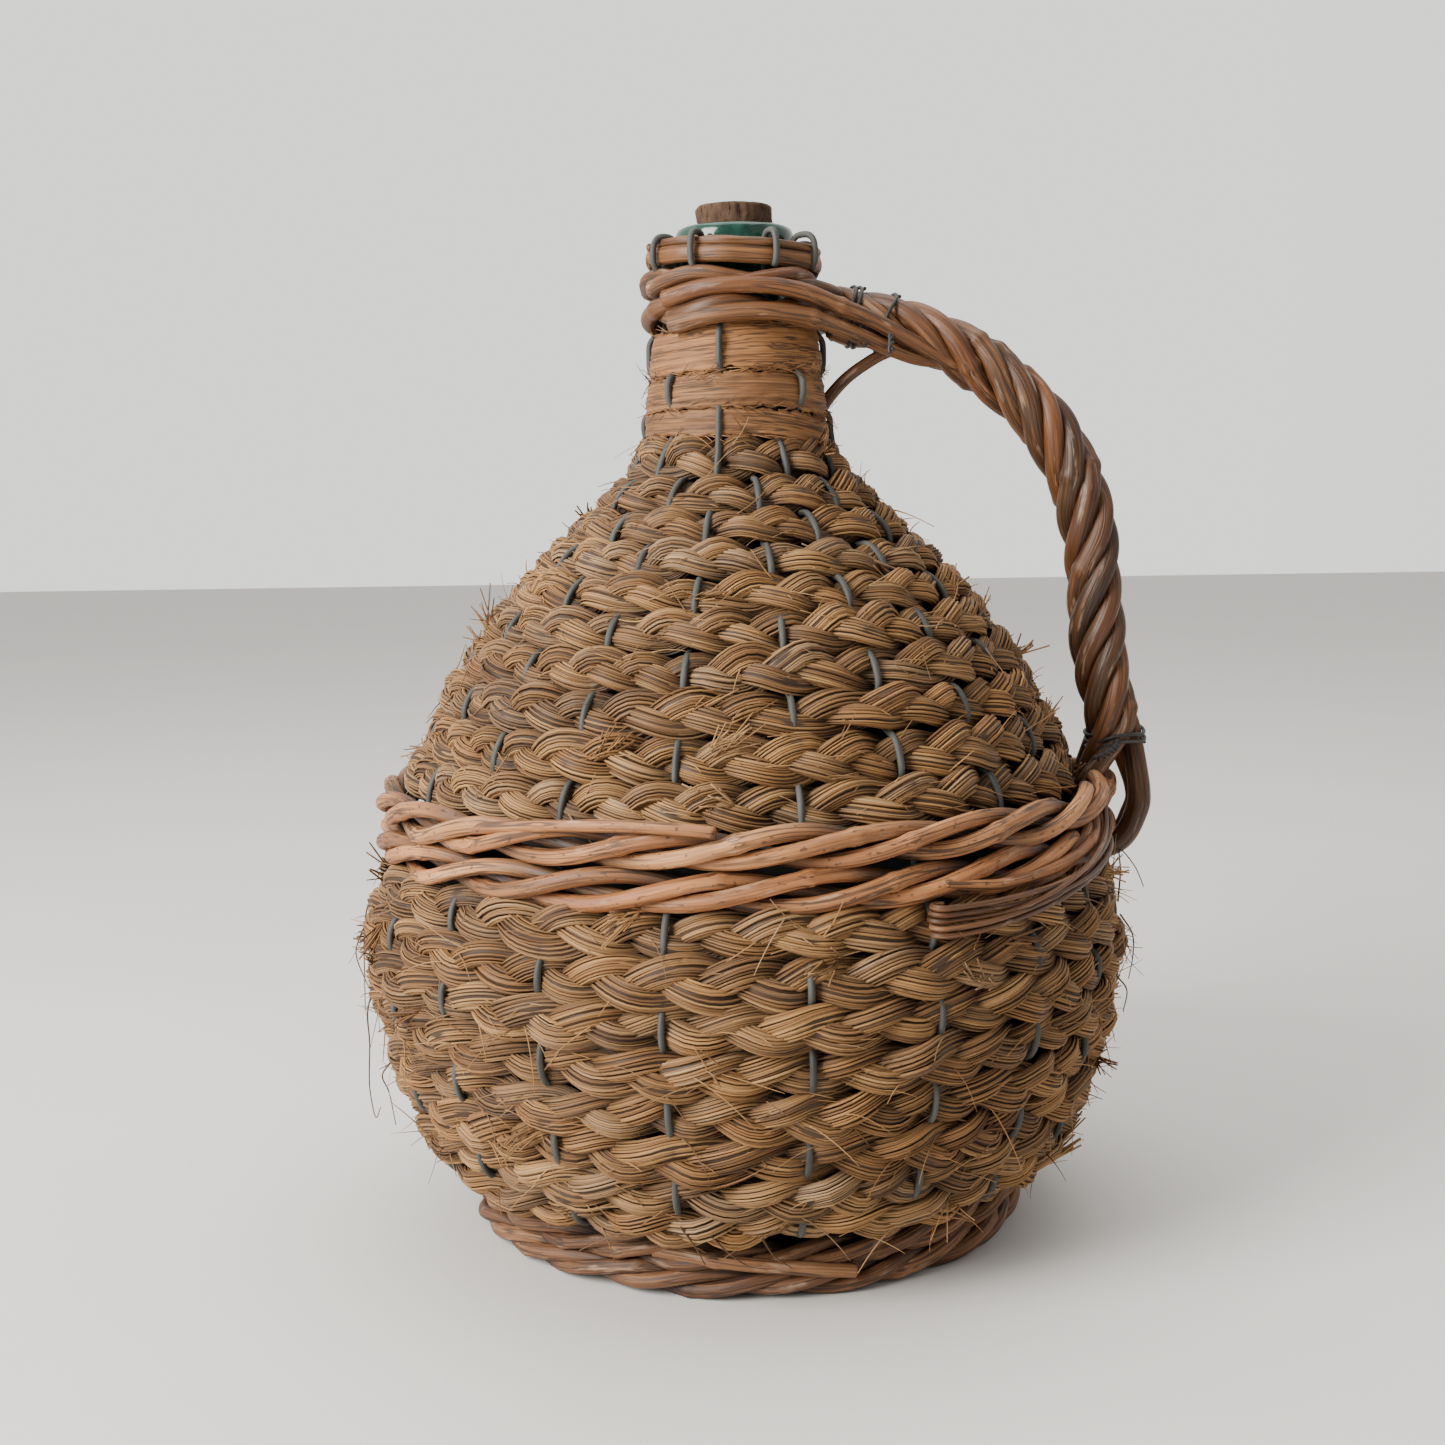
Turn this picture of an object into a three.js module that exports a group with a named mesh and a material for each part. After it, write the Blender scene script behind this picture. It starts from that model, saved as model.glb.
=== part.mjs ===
// A ten-litre glass carboy in its basket: a green glass bottle with a cork, held in a cage of steel
// wire stakes that is filled with spiral courses of plaited straw, waled with willow rods at the
// foot and round the middle, wrapped at the neck, and carried by a handle of five twisted rods.
// Millimetres, +Z up. The origin is on the bottle's axis at table level. The handle is towards +X.
import * as THREE from "three";

// Driving dimensions
const GAP = 0.4; // clearance between pieces that touch on the real object
const ROUND_STEPS = 28; // steps round the bottle for the pieces that are turned about its axis
const STAKES = 23; // an odd number, so that a spiral course passes each stake on alternate sides
const HOOKED_STAKES = [2, 4, 7, 10, 13, 17, 20, 22]; // long enough to hook over the collar
const STAKE_SPREAD = 0.163; // how much wider than the mean the stakes stand apart at the front
const STAKE_START = THREE.MathUtils.degToRad(-8.6); // first stake, counted from the front
const WIRE_RADIUS = 1.35;
const TIE_RADIUS = 0.9;

const MAT_BOTTOM = 2.5;
const MAT_TOP = 14.4;
const MAT_RADIUS = 98.5;
const MAT_COURSES = 4;

const FOOT_RADIUS = 104.3;
const FOOT_ROD_WIDTH = 8.2;
const FOOT_ROD_HEIGHT = 6.7;
const FOOT_RODS = 3;

const BAND_RADIUS = 136.1;
const BAND_ROD_RADIUS = 2.8;
const BAND_TWIST_RADIUS = 4.1; // distance of each rod from the middle of its three-rod round
const BAND_ROUNDS = [152.1, 166.1]; // heights of the two rounds of waling
const BAND_RODS_PER_ROUND = 3;
const BAND_WAVES = 8;

const PLAIT_GROOVE = 3.2; // depth of the groove between two courses
const PLAIT_CLEARANCE = 4.4; // from the glass to the inside of the straw, which leaves room for stakes
const LOWER_COURSES = 8;
const UPPER_COURSES = 10;

const WALL = 3.2; // glass
const BOTTLE_FOOT = 18;
const LIP_RADIUS = 22.5;
const LIP_BOTTOM = 374.5;
const MOUTH = 383;
const MOUTH_BEVEL_WIDTH = 1.5;
const MOUTH_BEVEL_HEIGHT = 2;
const CORK_FIT = 0.35; // between the cork and the neck
const BORE_LENGTH_BELOW_CORK = 6; // where the bore under the cork widens to the neck's inside
const CORK_TOP = 391.5;
const CORK_BOTTOM = 362;
const CORK_TOP_RADIUS = 15.2;
const CORK_BOTTOM_RADIUS = 13.4;
const CORK_CHAMFER = 0.8;

const COLLAR_BOTTOM = 367.1;
const COLLAR_TOP = 376.7;
const COLLAR_INNER_RADIUS = 26.2;
const COLLAR_THICKNESS = 3.5;

const STAKE_FOOT_RADIUS = 56; // where a stake begins under the bottle
const NECK_WIRE_RADIUS = 24.5; // distance of the stakes from the axis beside the neck
const NECK_FOOT = 318; // a stake follows the bottle up to here
const STAKE_STRAIGHT = 332; // and is upright from here
const STAKE_TOP = 342; // end of a short stake
const HOOK_END = 368.7; // end of a long stake, outside the collar

const STRIPS = [
  { name: "neck_strip_lower", bottom: 304.1, top: 314.3, radius: 36 },
  { name: "neck_strip_middle", bottom: 314.7, top: 327, radius: 35.2 },
  { name: "neck_strip_upper", bottom: 327.4, top: 343.4, radius: 33.4 },
];
const STRIP_THICKNESS = 3.6;

const LOOPS = [
  { name: "neck_loop_lower", height: 350 },
  { name: "neck_loop_upper", height: 361.2 },
];
const LOOP_RADIUS = 31.6;
const LOOP_PLY_RADIUS = 2.35;
const LOOP_TWIST_RADIUS = 2.85;
const LOOP_TURNS = 5; // turns that the two plies make about each other on their way round

const HANDLE_ROD_RADIUS = 3.55;
const HANDLE_TWIST_RADIUS = 7.6;
const HANDLE_RODS = 5;
const HANDLE_TURNS = 2.9;
const HANDLE_STEPS = 46;
const STATIONS_UNDER_TAIL = 3; // lowest stations of an outer rod, where its tail takes over

// Outlines as [radius, height]. The punt's heights count from the bottle's foot, and the bottle's
// outline runs from the edge of its foot to below its lip.
const PUNT_OUTLINE = [
  [0, 18],
  [34, 14.4],
  [58, 4.5],
  [68, 0],
];
const BOTTLE_OUTLINE = [
  [74, BOTTLE_FOOT],
  [86, 19.5],
  [97, 26.5],
  [110, 40],
  [121.5, 61],
  [129, 86],
  [130.5, 108],
  [128, 130],
  [121.5, 160],
  [110.5, 188],
  [83, 231],
  [48.5, 268.5],
  [32, 287],
  [25, 303],
  [22, 325],
  [20.8, 350],
  [20.6, 371],
];
const LOWER_CREST = [
  [121, 21.6],
  [130, 33],
  [139.5, 57],
  [146.5, 85],
  [149.7, 110],
  [147.5, 127],
  [142.3, 144.8],
];
const UPPER_CREST = [
  [135, 173.4],
  [127.5, 189],
  [112.5, 218],
  [89, 249],
  [58, 280],
  [44.5, 294.5],
  [39, 303.6],
];
// The middle of the handle in the XZ plane, from above the band up to the neck
const HANDLE_LINE = [
  [149, 178],
  [147, 192],
  [142, 215],
  [139.2, 245],
  [137, 268],
  [129, 292],
  [113, 315.5],
  [87, 335],
  [62, 345.5],
  [38.2, 350.5],
];
// The outer two rods pass down outside the band and turn in under it
const HANDLE_TAIL = [
  [149.5, 143],
  [154.5, 151],
  [157.2, 162],
  [157, 173],
];
const STRUT_LINE = [
  [39.2, 320],
  [44, 327],
  [53, 331.6],
];
const STRUT_RADIUS = 2.4;

const glassMaterial = { color: 0x5f7d57, roughness: 0.12, metalness: 0, transparent: true, opacity: 0.65 };
const corkMaterial = { color: 0x8f6240, roughness: 0.9, metalness: 0 };
const strawMaterial = { color: 0x94703f, roughness: 0.9, metalness: 0 };
const willowMaterial = { color: 0x94694a, roughness: 0.65, metalness: 0 };
const paleWillowMaterial = { color: 0xb08a70, roughness: 0.7, metalness: 0 };
const barkMaterial = { color: 0x7c6850, roughness: 0.85, metalness: 0 };
const caneMaterial = { color: 0x8e6c4b, roughness: 0.7, metalness: 0 };
const wireMaterial = { color: 0x6f767a, roughness: 0.45, metalness: 0.8 };
const tieMaterial = { color: 0x232120, roughness: 0.5, metalness: 0.3 };

const carboy = new THREE.Group();

function addPiece(name, geometry, material) {
  const mesh = new THREE.Mesh(geometry, new THREE.MeshStandardMaterial(material));
  mesh.name = name;
  carboy.add(mesh);
}

// Turns an outline of [radius, height] pairs about the Z axis. It runs up on the outside.
function turned(outline, steps = ROUND_STEPS) {
  const profile = outline.map(([radius, height]) => new THREE.Vector2(radius, height));
  return new THREE.LatheGeometry(profile, steps).rotateX(Math.PI / 2);
}

function turnedRing(outline, steps = ROUND_STEPS) {
  return turned([...outline, outline[0]], steps);
}

// A smooth outline through the given points, as evenly spaced [radius, height] pairs
function smooth(outline, steps) {
  const curve = new THREE.SplineCurve(outline.map(([radius, height]) => new THREE.Vector2(radius, height)));
  return curve.getSpacedPoints(steps).map((point) => [point.x, point.y]);
}

// Moves an upward outline outwards along its normals
function offset(outline, distance) {
  return outline.map(([radius, height], index) => {
    const before = outline[Math.max(index - 1, 0)];
    const after = outline[Math.min(index + 1, outline.length - 1)];
    const alongRadius = after[0] - before[0];
    const alongHeight = after[1] - before[1];
    const length = Math.hypot(alongRadius, alongHeight);
    return [radius + (distance * alongHeight) / length, height - (distance * alongRadius) / length];
  });
}

// The radius of an outline at a height
function radiusAt(outline, height) {
  const upper = Math.max(1, outline.findIndex((point) => point[1] >= height));
  const [lowRadius, lowHeight] = outline[upper - 1];
  const [highRadius, highHeight] = outline[upper];
  return THREE.MathUtils.mapLinear(height, lowHeight, highHeight, lowRadius, highRadius);
}

// A curve through given stations, which a tube follows station by station
class StationCurve extends THREE.Curve {
  constructor(stations) {
    super();
    this.stations = stations;
  }

  getPoint(t, target = new THREE.Vector3()) {
    const place = t * (this.stations.length - 1);
    const index = Math.min(Math.floor(place), this.stations.length - 2);
    return target.lerpVectors(this.stations[index], this.stations[index + 1], place - index);
  }

  getTangent(t, target = new THREE.Vector3()) {
    const index = Math.round(t * (this.stations.length - 1));
    const before = this.stations[Math.max(index - 1, 0)];
    const after = this.stations[Math.min(index + 1, this.stations.length - 1)];
    return target.subVectors(after, before).normalize();
  }

  getUtoTmapping(u) {
    return u;
  }
}

// A round rod or wire along its stations
function rod(stations, radius, sides) {
  const section = new THREE.Shape();
  const corners = Array.from({ length: sides }, (_, side) => {
    const angle = (2 * Math.PI * side) / sides;
    return new THREE.Vector2(radius * Math.cos(angle), radius * Math.sin(angle));
  });
  section.setFromPoints(corners);
  return new THREE.ExtrudeGeometry(section, {
    steps: stations.length - 1,
    extrudePath: new StationCurve(stations),
    curveSegments: 1,
    bevelEnabled: false,
  });
}

function around(angle, radius, height) {
  return new THREE.Vector3(radius * Math.cos(angle), radius * Math.sin(angle), height);
}

// The glass and the stakes beside it share these stations, so their sides stay parallel
const bottleOutside = smooth(BOTTLE_OUTLINE, 18);

function makeBottle() {
  const punt = PUNT_OUTLINE.map(([radius, height]) => [radius, BOTTLE_FOOT + height]);
  const lip = [
    [LIP_RADIUS, LIP_BOTTOM],
    [LIP_RADIUS, MOUTH - MOUTH_BEVEL_HEIGHT],
    [LIP_RADIUS - MOUTH_BEVEL_WIDTH, MOUTH],
  ];
  const bore = [
    [corkRadiusAt(MOUTH) + CORK_FIT, MOUTH],
    [CORK_BOTTOM_RADIUS + CORK_FIT, CORK_BOTTOM],
  ];
  const boreEnd = CORK_BOTTOM - BORE_LENGTH_BELOW_CORK;
  const inside = offset(bottleOutside, -WALL).filter(([, height]) => height < boreEnd);
  const floor = punt.map(([radius, height]) => [radius, height + WALL]);
  addPiece(
    "glass_bottle",
    turned([...punt, ...bottleOutside, ...lip, ...bore, ...inside.reverse(), ...floor.reverse()]),
    glassMaterial,
  );
}

function corkRadiusAt(height) {
  return THREE.MathUtils.mapLinear(height, CORK_BOTTOM, CORK_TOP, CORK_BOTTOM_RADIUS, CORK_TOP_RADIUS);
}

function makeCork() {
  const outline = [
    [0, CORK_BOTTOM],
    [CORK_BOTTOM_RADIUS - CORK_CHAMFER, CORK_BOTTOM],
    [CORK_BOTTOM_RADIUS, CORK_BOTTOM + CORK_CHAMFER],
    [CORK_TOP_RADIUS, CORK_TOP - CORK_CHAMFER],
    [CORK_TOP_RADIUS - CORK_CHAMFER, CORK_TOP],
    [0, CORK_TOP],
  ];
  addPiece("cork_stopper", turned(outline), corkMaterial);
}

// A flat coil of plait under the bottle, with a groove between its courses on the underside
function makeMat() {
  const pitch = MAT_RADIUS / MAT_COURSES;
  const groove = 2;
  const underside = [[0, MAT_BOTTOM]];
  for (let course = 1; course < MAT_COURSES; course += 1) {
    const radius = course * pitch;
    underside.push([radius - groove, MAT_BOTTOM]);
    underside.push([radius, MAT_BOTTOM + groove]);
    underside.push([radius + groove, MAT_BOTTOM]);
  }
  const edge = [
    [MAT_RADIUS - groove, MAT_BOTTOM],
    [MAT_RADIUS, MAT_BOTTOM + groove],
    [MAT_RADIUS, MAT_TOP - groove],
    [MAT_RADIUS - groove, MAT_TOP],
    [0, MAT_TOP],
  ];
  addPiece("base_mat", turned([...underside, ...edge]), strawMaterial);
}

// Each foot rod has a flat underside, so the lowest one stands on the table
function makeFoot() {
  const halfWidth = FOOT_ROD_WIDTH / 2;
  const flat = halfWidth / 2;
  for (let index = 0; index < FOOT_RODS; index += 1) {
    const bottom = index * (FOOT_ROD_HEIGHT + GAP);
    const middle = bottom + FOOT_ROD_HEIGHT / 2;
    const top = bottom + FOOT_ROD_HEIGHT;
    const section = [
      [FOOT_RADIUS - flat, bottom],
      [FOOT_RADIUS + flat, bottom],
      [FOOT_RADIUS + halfWidth, middle],
      [FOOT_RADIUS + flat, top],
      [FOOT_RADIUS - flat, top],
      [FOOT_RADIUS - halfWidth, middle],
    ];
    addPiece(`foot_rod_${index + 1}`, turnedRing(section), paleWillowMaterial);
  }
}

// A sleeve of plaited straw: scalloped outside, course by course, and smooth inside
function plaitSleeve(crest, courses) {
  const pointsPerCourse = 4; // the groove, the foot of the bulge, its middle and its top
  const middle = 2; // left out, because the bulge is almost flat there
  const line = smooth(crest, courses * pointsPerCourse);
  const grooves = offset(line, -PLAIT_GROOVE);
  const outside = [];
  for (let step = 0; step < line.length; step += 1) {
    const inCourse = step % pointsPerCourse;
    if (inCourse === 0) {
      outside.push(grooves[step]);
    } else if (inCourse !== middle) {
      outside.push(line[step]);
    }
  }
  const insideLine = offset(bottleOutside, PLAIT_CLEARANCE);
  const bottom = outside[0][1];
  const top = outside[outside.length - 1][1];
  const between = insideLine.filter(([, height]) => height > bottom + GAP && height < top - GAP);
  const inside = [[radiusAt(insideLine, bottom), bottom], ...between, [radiusAt(insideLine, top), top]];
  return turnedRing([...outside, ...inside.reverse()]);
}

// Three-rod waling: the rods of a round wind about each other all the way round the basket
function makeBand() {
  const stepsPerWave = 6;
  const sides = 5;
  const steps = BAND_WAVES * stepsPerWave;
  const turn = (2 * Math.PI * (steps - 1)) / steps;
  BAND_ROUNDS.forEach((height, round) => {
    for (let index = 0; index < BAND_RODS_PER_ROUND; index += 1) {
      const stations = [];
      for (let step = 0; step < steps; step += 1) {
        const angle = (turn * step) / (steps - 1);
        const phase = BAND_WAVES * angle + (2 * Math.PI * index) / BAND_RODS_PER_ROUND;
        const radius = BAND_RADIUS + BAND_TWIST_RADIUS * Math.cos(phase);
        stations.push(around(angle, radius, height + BAND_TWIST_RADIUS * Math.sin(phase)));
      }
      const name = `band_rod_${round * BAND_RODS_PER_ROUND + index + 1}`;
      addPiece(name, rod(stations, BAND_ROD_RADIUS, sides), willowMaterial);
    }
  });
}

function makeNeckStrips() {
  for (const { name, bottom, top, radius } of STRIPS) {
    const section = [
      [radius - STRIP_THICKNESS, bottom],
      [radius, bottom],
      [radius, top],
      [radius - STRIP_THICKNESS, top],
    ];
    addPiece(name, turnedRing(section), barkMaterial);
  }
}

function makeCollar() {
  const layers = ["collar_cane_inner", "collar_cane_outer"];
  layers.forEach((name, index) => {
    const inner = COLLAR_INNER_RADIUS + index * (COLLAR_THICKNESS + GAP);
    const outer = inner + COLLAR_THICKNESS;
    const section = [
      [inner, COLLAR_BOTTOM],
      [outer, COLLAR_BOTTOM],
      [outer, COLLAR_TOP],
      [inner, COLLAR_TOP],
    ];
    addPiece(name, turnedRing(section), caneMaterial);
  });
}

// Two plies twisted about each other round the neck, open by a narrow gap on the handle's side
function makeNeckLoops() {
  const stepsPerTurn = 6;
  const steps = LOOP_TURNS * stepsPerTurn;
  const opening = 0.16; // radians
  const sides = 5;
  for (const { name, height } of LOOPS) {
    ["a", "b"].forEach((ply, index) => {
      const stations = [];
      for (let step = 0; step <= steps; step += 1) {
        const part = step / steps;
        const angle = opening / 2 + (2 * Math.PI - opening) * part;
        const phase = 2 * Math.PI * LOOP_TURNS * part + Math.PI * index;
        const radius = LOOP_RADIUS + LOOP_TWIST_RADIUS * Math.cos(phase);
        stations.push(around(angle, radius, height + LOOP_TWIST_RADIUS * Math.sin(phase)));
      }
      addPiece(`${name}_ply_${ply}`, rod(stations, LOOP_PLY_RADIUS, sides), willowMaterial);
    });
  }
}

function makeHandle() {
  const sides = 6;
  const line = smooth(HANDLE_LINE, HANDLE_STEPS);
  for (let index = 0; index < HANDLE_RODS; index += 1) {
    const start = (2 * Math.PI * (index + 0.5)) / HANDLE_RODS;
    const stations = line.map(([x, z], step) => {
      const before = line[Math.max(step - 1, 0)];
      const after = line[Math.min(step + 1, line.length - 1)];
      const along = new THREE.Vector3(after[0] - before[0], 0, after[1] - before[1]).normalize();
      const sideways = new THREE.Vector3(0, 1, 0);
      const outwards = new THREE.Vector3().crossVectors(sideways, along);
      const phase = start + (2 * Math.PI * HANDLE_TURNS * step) / HANDLE_STEPS;
      return new THREE.Vector3(x, 0, z)
        .addScaledVector(outwards, HANDLE_TWIST_RADIUS * Math.cos(phase))
        .addScaledVector(sideways, HANDLE_TWIST_RADIUS * Math.sin(phase));
    });
    const isOuter = Math.cos(start) > 0.5;
    if (isOuter) {
      const y = HANDLE_TWIST_RADIUS * Math.sin(start);
      const tail = HANDLE_TAIL.map(([x, z]) => new THREE.Vector3(x, y, z));
      stations.splice(0, STATIONS_UNDER_TAIL, ...tail);
    }
    addPiece(`handle_rod_${index + 1}`, rod(stations, HANDLE_ROD_RADIUS, sides), willowMaterial);
  }
  const strut = STRUT_LINE.map(([x, z]) => new THREE.Vector3(x, 0, z));
  addPiece("handle_strut", rod(strut, STRUT_RADIUS, sides), willowMaterial);
}

// A turn of black wire round the handle, open by a narrow gap where its ends are twisted off
function makeTies() {
  const ties = [
    { name: "handle_tie_lower", x: 148.4, z: 184, tilt: 0.12 },
    { name: "handle_tie_upper", x: 58, z: 346.7, tilt: 1.2 },
    { name: "handle_tie_root", x: 46, z: 349.2, tilt: 1.42 },
  ];
  const radius = HANDLE_TWIST_RADIUS + HANDLE_ROD_RADIUS + GAP + TIE_RADIUS;
  const steps = 20;
  const sides = 4;
  for (const { name, x, z, tilt } of ties) {
    const stations = [];
    for (let step = 0; step < steps; step += 1) {
      const angle = (2 * Math.PI * step) / steps;
      const place = new THREE.Vector3(radius * Math.cos(angle), radius * Math.sin(angle), 0);
      place.applyAxisAngle(new THREE.Vector3(0, 1, 0), -tilt);
      stations.push(place.add(new THREE.Vector3(x, 0, z)));
    }
    addPiece(name, rod(stations, TIE_RADIUS, sides), tieMaterial);
  }
}

// The stakes stand wider apart at the front, which is -Y, than at the back
function stakeAngle(index) {
  const even = STAKE_START + (2 * Math.PI * index) / STAKES;
  return even + STAKE_SPREAD * Math.sin(even) - Math.PI / 2;
}

// The stakes start under the bottle, rise between glass and straw and end beside the neck,
// except the long ones, which go on and hook over the collar.
function makeStakes() {
  const sides = 4;
  const bend = 1.5; // how far across the collar a hook's corner reaches
  const drop = 1; // how far below the collar's top that corner starts
  const line = offset(bottleOutside, WIRE_RADIUS + 2 * GAP);
  const hookRise = COLLAR_TOP + GAP + WIRE_RADIUS;
  const hookRadius = COLLAR_INNER_RADIUS + 2 * (COLLAR_THICKNESS + GAP) + WIRE_RADIUS;
  const foot = [STAKE_FOOT_RADIUS, BOTTLE_FOOT - WIRE_RADIUS - GAP];
  const start = [foot, ...line.filter(([, height]) => height < NECK_FOOT)];
  const hook = [
    [NECK_WIRE_RADIUS, COLLAR_TOP - drop],
    [NECK_WIRE_RADIUS + bend, hookRise],
    [hookRadius - bend, hookRise],
    [hookRadius, COLLAR_TOP - drop],
    [hookRadius, HOOK_END],
  ];
  for (let index = 0; index < STAKES; index += 1) {
    const end = HOOKED_STAKES.includes(index) ? hook : [[NECK_WIRE_RADIUS, STAKE_TOP]];
    const outline = [...start, [NECK_WIRE_RADIUS, STAKE_STRAIGHT], ...end];
    const stations = outline.map(([radius, height]) => around(stakeAngle(index), radius, height));
    const number = String(index + 1).padStart(2, "0");
    addPiece(`stake_wire_${number}`, rod(stations, WIRE_RADIUS, sides), wireMaterial);
  }
}

makeBottle();
makeCork();
makeMat();
makeFoot();
addPiece("lower_straw_plait", plaitSleeve(LOWER_CREST, LOWER_COURSES), strawMaterial);
addPiece("upper_straw_plait", plaitSleeve(UPPER_CREST, UPPER_COURSES), strawMaterial);
makeBand();
makeNeckStrips();
makeCollar();
makeNeckLoops();
makeHandle();
makeTies();
makeStakes();

export default carboy;
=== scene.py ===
import math

import bpy
import numpy as np
from mathutils import Matrix, Vector


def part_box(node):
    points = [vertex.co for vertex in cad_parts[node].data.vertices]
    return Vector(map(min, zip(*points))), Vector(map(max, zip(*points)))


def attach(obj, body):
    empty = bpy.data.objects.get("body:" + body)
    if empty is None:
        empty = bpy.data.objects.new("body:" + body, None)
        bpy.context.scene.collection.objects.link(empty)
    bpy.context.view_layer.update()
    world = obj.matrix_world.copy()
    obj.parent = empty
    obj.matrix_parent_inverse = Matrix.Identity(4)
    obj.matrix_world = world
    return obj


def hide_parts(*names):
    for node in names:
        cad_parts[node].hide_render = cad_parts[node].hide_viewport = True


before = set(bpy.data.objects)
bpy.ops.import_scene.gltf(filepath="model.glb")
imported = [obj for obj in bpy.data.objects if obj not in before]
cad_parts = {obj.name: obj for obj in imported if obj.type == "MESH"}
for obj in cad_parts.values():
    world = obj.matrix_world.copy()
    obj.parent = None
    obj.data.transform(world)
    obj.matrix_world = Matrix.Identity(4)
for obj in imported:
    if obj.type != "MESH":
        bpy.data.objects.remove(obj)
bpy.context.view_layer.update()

MM = 0.001
TURN = 2 * math.pi
BODY = "carboy"
UPWARDS = [0.0, 0.0, 1.0]
dice = np.random.default_rng(27)


# ---------------------------------------------------------------- numbers and curves


def unit(vectors):
    return vectors / np.linalg.norm(vectors, axis=-1, keepdims=True)


def ease(share):
    share = np.clip(share, 0, 1)
    return share * share * (3 - 2 * share)


def drift(places, length, rows=None):
    """Smooth random values from -1 to 1 along ascending places, changing over about that length."""
    cells = (places - places[0]) / length + 0.01
    knots = dice.uniform(-1, 1, (rows or 1, int(cells[-1]) + 3))
    cell = cells.astype(int)
    share = ease(cells - cell)
    values = knots[:, cell] * (1 - share) + knots[:, cell + 1] * share
    return values if rows else values[0]


def soften(line, times):
    """Rounds the corners of a line in place, and leaves its ends where they are."""
    for _ in range(times):
        line[1:-1] = (line[:-2] + 2 * line[1:-1] + line[2:]) / 4


def run_length(line):
    steps = np.linalg.norm(np.diff(line, axis=0), axis=1)
    return np.concatenate([[0], np.cumsum(steps)])


def resample(line, count):
    length = run_length(line)
    even = np.linspace(0, length[-1], count)
    return np.stack([np.interp(even, length, column) for column in line.T], axis=1)


def curve(points, count):
    """A smooth curve through the points, as evenly spaced points."""
    points = np.asarray(points, float)
    before = 2 * points[0] - points[1]
    after = 2 * points[-1] - points[-2]
    knots = np.vstack([before, points, after])
    t = np.linspace(0, 1, 20, endpoint=False)[:, None]
    spans = []
    for a, b, c, d in zip(knots, knots[1:], knots[2:], knots[3:]):
        spans.append(0.5 * (2 * b + (c - a) * t + (2 * a - 5 * b + 4 * c - d) * t**2
                            + (3 * b - a - 3 * c + d) * t**3))
    return resample(np.vstack(spans + [points[-1:]]), count)


def around(angle, radius, height):
    angle, radius, height = np.broadcast_arrays(angle, radius, height)
    return np.stack([radius * np.cos(angle), radius * np.sin(angle), height], axis=-1)


def node_range(*nodes):
    """(largest distance from the axis, lowest point, highest point) of CAD nodes."""
    boxes = [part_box(node) for node in nodes]
    radius = max(max(abs(v) for v in (*low[:2], *high[:2])) for low, high in boxes)
    return radius, min(low[2] for low, _ in boxes), max(high[2] for _, high in boxes)


def fit(node, outline):
    """An outline of [radius, height] pairs, stretched to the box of a turned CAD node."""
    outline = np.asarray(outline, float)
    radius, low, high = node_range(node)
    radii = outline[:, 0] * radius / outline[:, 0].max()
    heights = np.interp(outline[:, 1], [outline[:, 1].min(), outline[:, 1].max()], [low, high])
    return np.stack([radii, heights], axis=1)


class Cover:
    """A surface turned about the axis. A place on it is an angle, a distance up its outline and
    a depth, outwards."""

    MARGIN = 20 * MM

    def __init__(self, outline, count=160):
        line = curve(outline, count)
        first = line[0] - unit(line[1] - line[0]) * self.MARGIN
        last = line[-1] + unit(line[-1] - line[-2]) * self.MARGIN
        self.line = np.vstack([first, line, last])
        self.up = run_length(self.line) - self.MARGIN
        self.length = self.up[-1] - self.MARGIN
        along = unit(np.gradient(self.line, axis=0))
        self.out = np.stack([along[:, 1], -along[:, 0]], axis=1)

    def find(self, up, table):
        return np.interp(up, self.up, table[:, 0]), np.interp(up, self.up, table[:, 1])

    def put(self, angle, up, depth):
        radius, height = self.find(up, self.line)
        out_radius, out_height = self.find(up, self.out)
        return around(angle, radius + depth * out_radius, height + depth * out_height)

    def normal(self, angle, up):
        out_radius, out_height = self.find(up, self.out)
        return unit(around(angle, out_radius, out_height))


# ---------------------------------------------------------------- meshes


def round_section(sides, squash=1.0):
    angle = TURN * np.arange(sides) / sides
    return np.stack([np.cos(angle), squash * np.sin(angle)], axis=1)


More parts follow.
